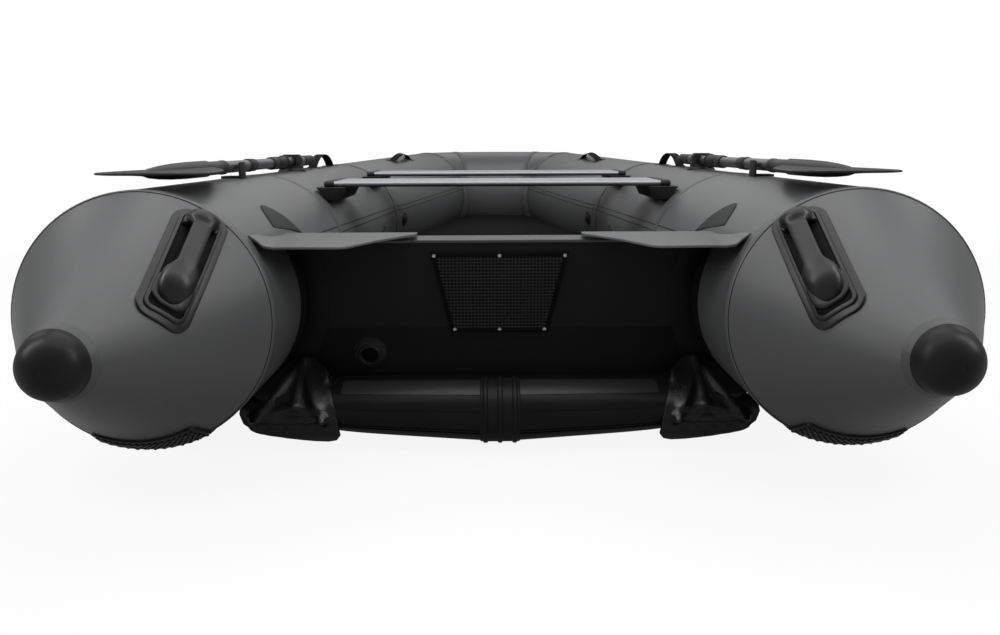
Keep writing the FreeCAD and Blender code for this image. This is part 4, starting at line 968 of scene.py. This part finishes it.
APEX, OUTER, INNER, MEETING = (0.410, 0.176), (0.492, 0.072), (0.352, 0.072), (0.412, 0.100)
FOLDS = ((APEX, OUTER, 0.009, 0.011), (APEX, INNER, 0.009, 0.012),
         ((0.410, 0.160), (0.412, 0.104), 0.006, 0.007), (MEETING, OUTER, 0.007, 0.006),
         (MEETING, INNER, 0.007, 0.006), (OUTER, INNER, 0.007, 0.009),
         ((0.50, 0.060), (0.345, 0.058), 0.006, -0.006))


def boot_depth(x, z):
    """How far aft the cloth of the corner boot lies: stretched from an apex over a fold to the roll's end."""
    foot, full = TRANSOM_Y + 0.014, ROLL_Y - ROLL_R - 0.003
    depth = full
    if z > 0.095:
        depth += (foot - full) * min((z - 0.095) / (0.178 - 0.095), 1.0) ** 1.25
    elif z <= 0.052:
        depth += ROLL_R * (1 - math.sqrt(max(1 - ((0.052 - z) / 0.048) ** 2, 0.02)))
    if z > 0.05:
        beside = min(max((z - ROLL_Z) / ROLL_R, -1), 1)
        roll = ROLL_Y - ROLL_R * math.sqrt(1 - beside ** 2) - 0.0015
        roll += (foot - roll) * smooth((z - ROLL_TOP) / 0.03)
        depth = roll + (depth - roll) * smooth((x - 0.326) / 0.036)
    ripple = 0.0016 * math.sin(x * 190 + z * 60) * math.exp(-((z - 0.055) / 0.02) ** 2)
    return depth - ripple - sum(ridge(x, z, *fold) for fold in FOLDS)


def make_boots():
    """Cloth stretched over the bottom's aft corners, between the roll, the transom's foot and the tube."""
    outline = [(0.410, 0.178), (0.440, 0.168), (0.470, 0.140), (0.498, 0.116), (0.517, 0.102), (0.521, 0.084),
               (0.513, 0.064), (0.500, 0.050), (0.480, 0.041), (0.420, 0.029), (0.375, 0.0215),
               (0.346, 0.0195), (0.330, 0.024), (0.322, 0.035), (0.326, 0.070), (0.338, 0.110),
               (0.356, 0.150), (0.388, 0.170)]

    def place(x, z, lift):
        return Vector((x, boot_depth(x, z) - lift, z))

    boot = patch(fresh_mesh(), outline, 0.0100, place, 0.0012, -0.0085, 0.0062)
    pair(boot, "corner_boot", "boot_cloth", SCENE_ONLY, sharp=60)


def roll_size(x):
    """Middle height and radius of the rolled edge at a place across."""
    low = bottom_low(x, ROLL_Y)
    return (low + ROLL_TOP) / 2, (ROLL_TOP - low) / 2


def make_roll_seams():
    """Welded seams along the rolled edge, one across its face and a double one low down, and a tape above."""
    bm = fresh_mesh()
    narrow = 1 - 0.02 * (1 - math.sin(0.3))
    for z, half, reach in ((0.0875, 0.0035, 0.33), (0.0405, 0.0012, 0.345), (0.0345, 0.0012, 0.345)):
        rise = (z - ROLL_Z) / ROLL_R
        around = math.asin(max(min(rise, 1), -1))
        out = Vector((0, -math.cos(around), math.sin(around)))
        stations = []
        for x in spread(-reach, reach, 41):
            middle, radius = roll_size(x)
            point = Vector((x * narrow, ROLL_Y - ROLL_R * math.cos(around), middle + radius * rise))
            stations.append((point + out * 0.0008, Vector((0, math.sin(around), math.cos(around))), out))
        ribbon(bm, stations, half, 0.0010)
    finish(bm, "roll_seams", "bottom_cloth", SCENE_ONLY)
    # The tape's light tone is a painted highlight along the top of the roll.
    low, high = math.radians(46), math.radians(92)
    rings = []
    for x in spread(-0.322, 0.322, 40):
        middle, radius = roll_size(x)
        ring = []
        for lift, stops in ((0.0011, spread(low, high, 9)), (-0.0006, spread(high, low, 5))):
            for turn in stops:
                out = Vector((0, -math.cos(turn), math.sin(turn)))
                ring.append(Vector((x, ROLL_Y + out.y * ROLL_R, middle + out.z * radius)) + out * lift)
        rings.append(ring)
    finish(loft(fresh_mesh(), rings), "roll_tape", "roll_tape", SCENE_ONLY)


def make_inner_seams():
    """Double line of the long seam on the tubes' inner sides."""
    bm = fresh_mesh()
    first, last = 0.46, 1.97
    for offset in (-0.0085, 0.0085):
        for start, end in ((0.44, last), (BEND_AT[1] + 0.02, BEND_AT[2] - 0.02)):
            stations = []
            for at in spread(start, end, 70):
                around = math.radians(66 + 12 * min((at - first) / (last - first), 1.0)) + offset / TUBE_R
                point, _, inboard, out = skin_frame(at, around, 0.0002)
                stations.append((point, inboard, out))
            ribbon(bm, stations, 0.0014, 0.0008)
    other_side(bm)
    finish(bm, "inner_seams", "dark_cloth", SCENE_ONLY)


def keel_path():
    """Stations of (place, outward direction) from the transom's foot, round the roll and along the keel."""
    stops = []
    for turn in spread(math.radians(60), math.radians(270), 15):
        out = Vector((0, math.cos(turn), math.sin(turn)))
        stops.append((Vector((0, ROLL_Y, ROLL_Z)) + out * ROLL_R, out))
    for y in spread(ROLL_Y + 0.08, BOW_START, 14) + spread(BOW_START + 0.05, BOTTOM_FRONT, 18):
        slope = (keel_z(y + 0.002) - keel_z(y - 0.002)) / 0.004
        stops.append((Vector((0, y, keel_z(y))), Vector((0, slope, -1)).normalized()))
    return stops


def make_keel_band():
    """Rubber band with three ribs, from the transom's foot round the roll and along the keel."""
    shape = [(-41, -0.8), (-41, 1.6), (-38, 3.0)]
    for rib in (-30, 0, 30):
        shape += [(rib - 5.5, 3.0), (rib - 4, 4.6), (rib - 3, 6.0), (rib + 3, 6.0), (rib + 4, 4.6),
                  (rib + 5.5, 3.0)]
        if rib < 30:
            shape += [(rib + 10, 3.0), (rib + 20, 3.0)]
    shape += [(38, 3.0), (41, 1.6), (41, -0.8)]
    rings = [[place + (ACROSS * a + out * b) / 1000 for a, b in shape] for place, out in keel_path()]
    finish(loft(fresh_mesh(), rings), "keel_band", "black_rubber", sharp=30)


def make_air_deck():
    """Inflated floor with rounded edges, between the tubes."""
    grow = TUBE_R * math.cos(math.asin((TUBE_Z - DECK_HIGH) / TUBE_R))
    side = (BENDS[2] - BENDS[1]).normalized()
    inward = Vector((-side.y, side.x, 0)).normalized() * grow
    wall, base = TUBE_X - grow, DECK_LOW + 0.0005
    shoulder = BENDS[2] + inward
    right = [(wall, TRANSOM_Y + 0.062), (wall, (BENDS[1] + inward).y), (shoulder.x, shoulder.y - 0.02),
             (max(BENDS[3].x - 0.1, 0.08), BENDS[3].y - grow)]
    bm = fresh_mesh()
    _, top = raised_face(bm, [(x, y, base) for x, y in right + [(-x, y) for x, y in reversed(right)]],
                         UP * (DECK_HIGH - base))
    rounded(bm, edge_loop_of(top), 0.022, 5)
    sliced(bm, bm.verts[:], 0.05)
    wrap(bm.verts, bm, lambda x, y, z: (x, y, z))
    finish(bm, "air_deck", "deck_cloth", sharp=60)


def bench_section(inset=0.0, grooves=True):
    """Plank section as (y, z) about its middle: rounded edges and fine ribs on top."""
    thick = PLANK_THICK / 2 - inset
    flat = 0.1 - inset - thick
    edge = [(thick * math.cos(t), thick * math.sin(t)) for t in spread(-math.pi / 2, math.pi / 2, 9)]
    points = [(flat + a, b) for a, b in edge]
    y = flat - 0.006
    while grooves and y > -flat + 0.012:
        points += [(y, thick), (y - 0.0015, thick - 0.0011), (y - 0.0035, thick - 0.0011), (y - 0.005, thick)]
        y -= 0.0128
    return points + [(-flat - a, -b) for a, b in edge]


def make_benches():
    """Planks with their end caps, and the rests drawn up and wedged under the thin planks."""
    for where in ("aft", "fore"):
        low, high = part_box("bench_" + where)
        middle = Vector((0, (low.y + high.y) / 2, high.z - PLANK_THICK / 2))
        half, cap_high = high.x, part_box("bench_caps_" + where)[1].x

        def ring(x, section):
            return [middle + Vector((x, a, b)) for a, b in section]

        bm = loft(fresh_mesh(), [ring(x, bench_section()) for x in (-half, half)])
        finish(bm, "bench_" + where, "bench_metal", sharp=25)
        stops = [(half - 0.004, 0.0), (half, 0.0), (cap_high - 0.008, 0.0)]
        stops += [(cap_high - 0.008 * (1 - math.sin(t)), 0.006 * (1 - math.cos(t)))
                  for t in spread(0.3, 1.45, 5)]
        bm = loft(fresh_mesh(), [ring(x, bench_section(inset - 0.0012, grooves=False)) for x, inset in stops])
        other_side(bm)
        finish(bm, "bench_caps_" + where, "black_plastic")
        bm = softened("bench_pads_" + where, 0.004, 3)
        pad_low, pad_high = (corner.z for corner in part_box("bench_pads_" + where))
        for v in bm.verts:
            share = smooth((v.co.z - pad_low) / (pad_high - pad_low))
            level = v.co.z + (high.z - low.z - PLANK_THICK) * share
            level += 0.42 * (pad_high - pad_low) * (1 - share)
            v.co.x += math.copysign(max(tube_inner_x(level) - tube_inner_x(v.co.z), 0) * (1 - share), v.co.x)
            v.co.z = level
        finish(bm, "bench_pads_" + where, "black_rubber", slot="moulded_rubber")


def handle_axes():
    """Centre on the cone's skin with the directions along the grip, across it and outwards."""
    radial = Vector((-math.sin(HANDLE_AROUND), 0, math.cos(HANDLE_AROUND)))
    slope = cone_slope(HANDLE_BACK)
    out = radial * math.cos(slope) + AFT * math.sin(slope)
    down = AFT * math.cos(slope) - radial * math.sin(slope)
    along = -down * math.cos(HANDLE_TURN) + out.cross(down) * math.sin(HANDLE_TURN)
    centre = CONE_SEAM + AFT * HANDLE_BACK + radial * cone_radius(HANDLE_BACK)
    return centre, along, along.cross(out), out


HANDLE_AXES = handle_axes()


def on_handle(a, w, lift):
    """Place in the handle's own directions, with its lift measured from the cone's skin."""
    centre, along, wide, out = HANDLE_AXES
    point = centre + along * a + wide * w
    for _ in range(6):
        back = min(max(SEAM_Y - point.y, -0.05), CONE_LENGTH)
        radius = cone_radius(back) if back > 0 else TUBE_R
        point = point - out * (math.hypot(point.x - TUBE_X, point.z - TUBE_Z) - radius)
    return point + out * lift


def grip_ring(a):
    """Section of the grip at a place along it: wide and low over the domes, flat and high between them."""
    centre, along, wide, out = HANDLE_AXES
    low_end, high_end, low_dome, high_dome = -0.086, 0.101, -0.046, 0.078
    lower, upper = smooth((-0.020 - a) / 0.020), smooth((a - 0.060) / 0.016)
    dome = max(lower, upper)
    ends = 1.0
    if a < low_dome:
        ends = math.sqrt(max(1 - ((low_dome - a) / (low_dome - low_end)) ** 2, 0.0005))
    if a > high_dome:
        ends = math.sqrt(max(1 - ((a - high_dome) / (high_end - high_dome)) ** 2, 0.0005))
    left, right = ((0.0160 + swell * lower + 0.0105 * upper) * ends for swell in (0.0125, 0.0120))
    low = 0.0255 * (1 - dome) + 0.001
    half = (0.0395 + 0.0050 * upper - 0.0010 * lower - 0.12 * a ** 2 - low) / 2
    half *= ends ** 0.8 if dome > 0.5 else 1
    square = 0.60 + 0.28 * dome
    ring = []
    for c, s in ((math.cos(t), math.sin(t)) for t in turns(28)):
        ring.append(centre + along * a + wide * ((left if c > 0 else right) * squared(c, square))
                    + out * (low + half + half * squared(s, square)))
    return ring, low_end, high_end


def make_handles():
    """Moulded carry handle: a stepped tray on the cone, two domes and a flat grip between them."""
    bm = fresh_mesh()
    outline = rounded_outline(HANDLE_LENGTH, HANDLE_WIDTH, 0.026)
    _, top = raised_face(bm, [(x, y, -0.0008) for x, y in outline], UP * 0.0056)
    rounded(bm, edge_loop_of(top), 0.0015, 3)
    bmesh.ops.recalc_face_normals(bm, faces=bm.faces[:])
    face = max((f for f in bm.faces if f.normal.z > 0.9), key=lambda f: f.calc_center_median().z)
    for width, depth in ((0.0085, 0.0), (0.0010, 0.0042), (0.0030, 0.0006), (0.0020, 0.0), (0.0012, -0.0062)):
        bmesh.ops.inset_region(bm, faces=[face], thickness=width, depth=depth)
    sliced(bm, bm.verts[:], 0.010)
    wrap(bm.verts, bm, on_handle)
    _, low_end, high_end = grip_ring(0)
    middle, half = (low_end + high_end) / 2, (high_end - low_end) / 2
    loft(bm, [grip_ring(middle - half * math.cos(t))[0] for t in spread(0, math.pi, 53)])
    low_seat = [(x - 0.060, y * 1.05) for x, y in rounded_outline(0.062, 0.062, 0.024)]
    patch(bm, low_seat, 0.0120, on_handle, 0.0030, 0.0005)
    patch(bm, rounded_outline(0.028, 0.054, 0.012, x=0.088), 0.0110, on_handle, 0.0035, 0.0130)
    for y in (-0.0235, 0.0235):
        patch(bm, rounded_outline(0.020, 0.010, 0.0045, 4, 0.082, y), 0.0160, on_handle, 0.0010, 0.0005)
    pair(bm, "carry_handle", "moulded_rubber", sharp=34)
    # The tray's floor is a near-black copy of the handle's moulding: painted shade in the recess.
    floor = rounded_outline(HANDLE_LENGTH - 0.0335, HANDLE_WIDTH - 0.0335, 0.0100, 6)
    bm = patch(fresh_mesh(), floor, 0.0046, on_handle, 0.0004, 0.0020)
    pair(bm, "carry_handle_recess", "shaded_recess", SCENE_ONLY, "moulded_rubber")


def blade_half(share):
    """Half width of the blade, from its tip at 0 to its neck at 1."""
    points = ((0.0, 0.070), (0.03, 0.088), (0.095, 0.0995), (0.25, 0.0975), (0.42, 0.086), (0.55, 0.066),
              (0.66, 0.042), (0.73, 0.024), (0.76, 0.0155), (1.0, 0.0150))
    for (s0, w0), (s1, w1) in zip(points, points[1:]):
        if share <= s1:
            return w0 + (w1 - w0) * (share - s0) / (s1 - s0)
    return points[-1][1]


def blade_ring(share):
    """Flat section of the blade, with a low rib along its middle."""
    half = blade_half(share) * (0.985 if share == 0 else 1.0)
    thick = 0.0016 if share < 0.004 else 0.0030
    ring = []
    for t in turns(32):
        x = half * squared(math.cos(t), 0.75)
        rib = 0.0025 * math.exp(-(x / 0.022) ** 2) * smooth(share / 0.06)
        ring.append(Vector((TUBE_X + x, OAR_TIP + BLADE_LENGTH * share,
                            OAR_Z + squared(math.sin(t), 0.35) * (thick + rib))))
    return ring


def on_oar(y):
    return Vector((TUBE_X, y, OAR_Z))


def make_oars():
    """Blade on its spine, shaft, collar, sleeve and grip, and the rowlocks and clips from the solids."""
    stops = [0.0, 0.004, 0.012, 0.03, 0.06] + spread(0.095, 1.0, 26)
    bm = loft(fresh_mesh(), [blade_ring(share) for share in stops])
    spine = [(0.0, 0.0), (0.0040, 0.004), (0.0090, 0.030), (0.0128, 0.075), (0.0155, 0.130), (0.0170, 0.200),
             (0.0176, 0.306), (0.0162, 0.309), (0.0152, 0.310), (0.0152, 0.404), (0.0164, 0.406),
             (0.0164, 0.418), (0.0150, 0.420), (0.0, 0.420)]
    turned(bm, spine, on_oar(OAR_TIP + 0.004), AHEAD, 36)
    pair(bm, "oar_blade", "blade_plastic", body="oar", sharp=45)
    starts, spans = {}, {}
    for part in ("shaft", "collar", "grip"):
        low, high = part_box("oar_" + part + "_starboard")
        starts[part], spans[part] = low.y, high.y - low.y
    lip, span = 0.001, spans["shaft"]
    shaft = [(0.0, 0.0), (0.014 - lip, 0.0), (0.014, lip), (0.014, span - lip), (0.014 - lip, span),
             (0.0, span)]
    span = spans["collar"]
    collar = [(0.0, 0.0), (0.0155, 0.0), (0.0175, 0.002), (0.0180, 0.010), (0.0180, 0.040), (0.0172, 0.042),
              (0.0172, 0.046), (0.0180, 0.048), (0.0180, span - 0.009), (0.0208, span - 0.0075),
              (0.0210, span - 0.0015), (0.0200, span), (0.0, span)]
    sleeve = [(0.0, 0.0), (0.0150, 0.0), (0.0162, 0.001), (0.0162, 0.009), (0.0168, 0.010), (0.0168, 0.014),
              (0.0160, 0.016), (0.0160, 0.052), (0.0150, 0.054), (0.0, 0.054)]
    span = spans["grip"]
    grip = [(0.0, 0.0), (0.0150, 0.0), (0.0168, 0.002), (0.0168, 0.008)]
    y = 0.012
    while y < span - 0.020:
        grip += [(0.0154, y), (0.0154, y + 0.0015), (0.0166, y + 0.0030), (0.0166, y + 0.0052)]
        y += 0.0068
    grip += [(0.0162, span - 0.012), (0.0168, span - 0.009), (0.0160, span - 0.003), (0.0120, span),
             (0.0, span)]
    for name, look, nodes, profile, start, steps in (
            ("oar_shaft", "shaft_metal", None, shaft, starts["shaft"], 40),
            ("oar_collar", "black_plastic", None, collar, starts["collar"], 40),
            ("oar_joint_sleeve", "black_plastic", SCENE_ONLY, sleeve, OAR_TIP + 0.595, 36),
            ("oar_grip", "moulded_rubber", None, grip, starts["grip"], 36)):
        pair(turned(fresh_mesh(), profile, on_oar(start), AHEAD, steps), name, look, nodes, body="oar")
    pair(softened("rowlock_bail_starboard", 0.0012), "rowlock_bail", "black_plastic", body="oar")
    pair(softened("rowlock_base_starboard", 0.0015), "rowlock_base", "black_plastic")
    finish(softened("oar_clips", 0.0010), "oar_clips", "black_plastic")


def strap_loop(bm, at, around, length, rise=0.0405):
    """Webbing loop that rises from the tube's skin between two round patches."""
    half = length / 2
    places = []
    for a in spread(-half - 0.020, half + 0.020, 49):
        point, _, side, out = skin_frame(at + a, around)
        lift = 0.0030 + (rise * (1 - (a / half) ** 2) ** 0.85 if abs(a) < half else 0)
        places.append((point + out * lift, side, out))
    stations = []
    for i, (point, side, out) in enumerate(places):
        tangent = (places[min(i + 1, len(places) - 1)][0] - places[max(i - 1, 0)][0]).normalized()
        normal = side.cross(tangent).normalized()
        stations.append((point, side, -normal if normal.dot(out) < 0 else normal))
    ribbon(bm, stations, 0.015, 0.0011)


def strap_patches(cloth, at, around, reach):
    """Round rubber patches that glue a loop's ends down."""
    for sign in (-1, 1):
        tube_patch(cloth, disc_outline(0.030), 0.0024, at + sign * reach, around, 0.0009, -0.0005)


def make_straps():
    """Webbing grab straps on the tubes and bow, each glued down under two round patches."""
    cloth = fresh_mesh()
    for name, at, turn, length, rise in (("grab_straps", 1.345 + 0.275 / 2, 0.0, 0.275, 0.0405),
                                         ("bow_straps", BEND_AT[1] + 0.58, math.radians(16), 0.22, 0.026)):
        bm = fresh_mesh()
        strap_loop(bm, at, turn, length, rise)
        strap_patches(cloth, at, turn, length / 2 + 0.012)
        other_side(bm)
        finish(bm, name, "woven_webbing")
    other_side(cloth)
    finish(cloth, "strap_patches", "black_rubber", SCENE_ONLY, "webbing")


def make_valves():
    """Inflation valves on the tubes' inner sides."""
    bm = fresh_mesh()
    profile = [(0.0, 0.0102), (0.0085, 0.0100), (0.0150, 0.0092), (0.0165, 0.0075), (0.0170, 0.0035),
               (0.0200, 0.0030), (0.0225, 0.0048), (0.0262, 0.0042), (0.0270, 0.0020), (0.0270, -0.0015),
               (0.0, -0.0015)]
    for at in (1.4, BEND_AT[1] + 0.095):
        point, ahead, side, out = skin_frame(at, math.pi / 2)
        turned(bm, profile, point, out)
        for t in turns(8):
            spoke = ahead * math.cos(t) + side * math.sin(t)
            rim = point + spoke * 0.0160
            bar(bm, rim + out * 0.002, rim + out * 0.0088, spoke.cross(out), spoke, 0.0016, 0.0022)
    other_side(bm)
    finish(bm, "inflation_valves", "black_plastic")


def make_bow_fittings():
    """Towing rings under the nose, with their patches, and the webbing handle above."""
    rings, cloth = fresh_mesh(), fresh_mesh()
    dip = -math.pi / 2 - math.radians(48)
    stub = [(0.0, -0.012), (0.0060, -0.012), (0.0072, -0.0105), (0.0072, 0.0105), (0.0060, 0.012),
            (0.0, 0.012)]
    for at in (NOSE_AT - 0.150, NOSE_AT + 0.150):
        point, _, side, out = skin_frame(at, dip)
        torus(rings, point + out * 0.026, side, 0.022, 0.0038)
        tube_patch(cloth, disc_outline(0.045, 40), 0.004, at, dip, 0.0012, -0.0005)
        turned(cloth, stub, point + out * 0.0045, side, 20)
    finish(rings, "tow_rings", "bright_steel")
    finish(cloth, "tow_ring_patches", "black_rubber", SCENE_ONLY)
    rise = -math.pi / 2 + math.radians(42)
    bm, cloth = fresh_mesh(), fresh_mesh()
    strap_loop(bm, NOSE_AT, rise, 0.22)
    strap_patches(cloth, NOSE_AT, rise, 0.122)
    finish(bm, "bow_handle", "woven_webbing")
    finish(cloth, "bow_handle_patches", "black_rubber", SCENE_ONLY, "webbing")


# Stage


def lamp(name, place, aim, size, power):
    light = bpy.data.lights.new(name, "AREA")
    light.shape = "RECTANGLE"
    light.size, light.size_y = size
    light.energy = power
    obj = linked(name, light)
    obj.location = place
    obj.rotation_euler = (Vector(aim) - Vector(place)).to_track_quat("-Z", "Y").to_euler()


def make_stage():
    """Floor that the camera sees as white, a white world, the lamps and the camera."""
    scene = bpy.context.scene
    scene.view_settings.view_transform = "Standard"
    look = bpy.data.materials.new("studio_floor")
    tree = cleared(look)
    path = node(tree, "LightPath").outputs
    glossy = maths(tree, "MULTIPLY", path["Is Glossy Ray"], 0.12)
    seen = maths(tree, "MAXIMUM", path["Is Camera Ray"], glossy)
    seen = maths(tree, "MAXIMUM", seen, path["Is Transmission Ray"])
    tone = node(tree, "Mix", data_type="RGBA", Factor=seen, I6=(0.2, 0.2, 0.2, 1), I7=(0.9, 0.9, 0.9, 1))
    matte = node(tree, "BsdfDiffuse", Color=tone.outputs[2])
    glow = node(tree, "Emission", Color=(1, 1, 1, 1), Strength=1.0)
    far = node(tree, "VectorMath", operation="LENGTH", I0=node(tree, "TexCoord").outputs["Object"])
    even = node(tree, "MapRange", Value=far.outputs["Value"], From_Min=1.6, From_Max=3.6, To_Min=0.9,
                To_Max=1.0)
    share = maths(tree, "MULTIPLY", seen, even)
    node(tree, "OutputMaterial", I0=node(tree, "MixShader", I0=share, I1=matte, I2=glow))
    bm = fresh_mesh()
    bmesh.ops.create_grid(bm, x_segments=1, y_segments=1, size=40)
    floor = mesh_object(bm, "studio_floor")
    floor.data.materials.append(look)
    scene.world = bpy.data.worlds.new("studio")
    tree = cleared(scene.world)
    path = node(tree, "LightPath").outputs
    seen = maths(tree, "MAXIMUM", path["Is Camera Ray"], path["Is Transmission Ray"])
    strength = node(tree, "MapRange", Value=seen, To_Min=0.22, To_Max=1.0)
    node(tree, "OutputWorld", I0=node(tree, "Background", Color=(1, 1, 1, 1), Strength=strength))
    lamp("softbox_top", (0.0, -0.3, 3.3), (0.0, -0.3, 0.3), (4.0, 3.4), 70)
    lamp("softbox_front", (0.0, 4.2, 2.9), (0.0, 0.3, 0.4), (4.0, 2.0), 18)
    for side, sign in (("left", -1), ("right", 1)):
        lamp("strip_" + side, (sign * 2.9, -2.1, 2.3), (sign * 0.7, -1.5, 0.3), (0.26, 2.6), 44)
        lamp("side_box_" + side, (sign * 3.0, 0.3, 2.25), (sign * 0.75, -1.4, 0.45), (0.8, 1.5), 4)
    lamp("rear_bar", (0.0, -2.5, 3.0), (0.0, -1.3, 0.2), (3.4, 0.5), 15)
    camera = bpy.data.cameras.new("camera")
    camera.sensor_width = 36.0
    camera.lens = 28.3
    camera.shift_y = -0.09
    camera.clip_end = 200
    scene.camera = linked("camera", camera)
    scene.camera.location = (-0.012, -2.890, 0.616)
    scene.camera.rotation_euler = (math.radians(84), math.radians(0.2), math.radians(-0.5))


# The add-on


def colour_property(name, description, value):
    return FloatVectorProperty(name=name, description=description, subtype="COLOR", size=3, min=0.0, max=1.0,
                               default=value)


class BoatSizes(bpy.types.PropertyGroup):
    """Sizes that a user may change"""

    pad_rib_pitch: FloatProperty(name="Pad rib pitch", description="Spacing of the ribs on the wear pads",
                                 default=0.011, min=0.006, unit="LENGTH")


class BoatColours(bpy.types.PropertyGroup):
    """Colours of the finishes"""

    tubes: colour_property("Tubes", "Coated fabric of the tubes", (0.105, 0.107, 0.110))
    rubber: colour_property("Rubber", "Caps, strakes, pads and keel band", (0.018, 0.018, 0.019))
    mouldings: colour_property("Mouldings", "Carry handles, rests and grips", (0.020, 0.020, 0.021))
    bottom: colour_property("Bottom", "Coated fabric of the bottom", (0.022, 0.022, 0.023))
    transom: colour_property("Transom", "Skin of the transom board", (0.020, 0.020, 0.021))
    plastic: colour_property("Plastic", "Motor plate, valves and rowlocks", (0.020, 0.020, 0.021))
    edging: colour_property("Edging", "Edging over the transom's top", (0.075, 0.076, 0.078))
    # Far below the deck fabric's own grey: painted shade over the deck between the tubes.
    deck: colour_property("Deck", "Air deck", (0.010, 0.010, 0.011))
    aluminium: colour_property("Aluminium", "Benches and oar shafts", (0.37, 0.38, 0.39))
    blades: colour_property("Blades", "Oar blades", (0.030, 0.030, 0.032))
    webbing: colour_property("Webbing", "Grab straps", (0.015, 0.015, 0.016))
    steel: colour_property("Steel", "Screws and towing rings", (0.62, 0.62, 0.63))


def piece_operator(key, maker):
    """An operator that runs one of the makers above."""

    def execute(self, context):
        maker()
        return {"FINISHED"}

    return type("BOAT_OT_" + key, (bpy.types.Operator,), {
        "bl_idname": "boat." + key, "bl_label": key.replace("_", " ").title(), "__doc__": maker.__doc__,
        "execute": execute})


MAKERS = (make_tube_skin, make_seam_tapes, make_cones, make_cone_caps, make_strakes, make_wear_pads,
          make_transom, make_transom_flanges, make_gussets, make_motor_plates, make_drain_valve, make_bottom,
          make_boots, make_roll_seams, make_inner_seams, make_keel_band, make_air_deck, make_benches,
          make_handles, make_oars, make_straps, make_valves, make_bow_fittings, make_stage)
PIECES = {maker.__name__.removeprefix("make_"): maker for maker in MAKERS}
OPERATORS = [piece_operator(key, maker) for key, maker in PIECES.items()]


class BOAT_PT_pieces(bpy.types.Panel):
    """Lists the pieces of the boat"""

    bl_idname = "BOAT_PT_pieces"
    bl_label = "Inflatable Boat"
    bl_space_type = "VIEW_3D"
    bl_region_type = "UI"
    bl_category = "Boat"

    def draw(self, context):
        column = self.layout.column()
        for operator in OPERATORS:
            column.operator(operator.bl_idname)
        for name in BoatSizes.__annotations__:
            column.prop(context.scene.boat_sizes, name)
        for name in BoatColours.__annotations__:
            column.prop(context.scene.boat_colours, name)


CLASSES = [BoatSizes, BoatColours] + OPERATORS + [BOAT_PT_pieces]


def register():
    for cls in CLASSES:
        bpy.utils.register_class(cls)
    bpy.types.Scene.boat_sizes = PointerProperty(type=BoatSizes)
    bpy.types.Scene.boat_colours = PointerProperty(type=BoatColours)


def unregister():
    del bpy.types.Scene.boat_colours
    del bpy.types.Scene.boat_sizes
    for cls in reversed(CLASSES):
        bpy.utils.unregister_class(cls)


def main():
    register()
    for key in PIECES:
        getattr(bpy.ops.boat, key)()


if __name__ == "__main__":
    main()
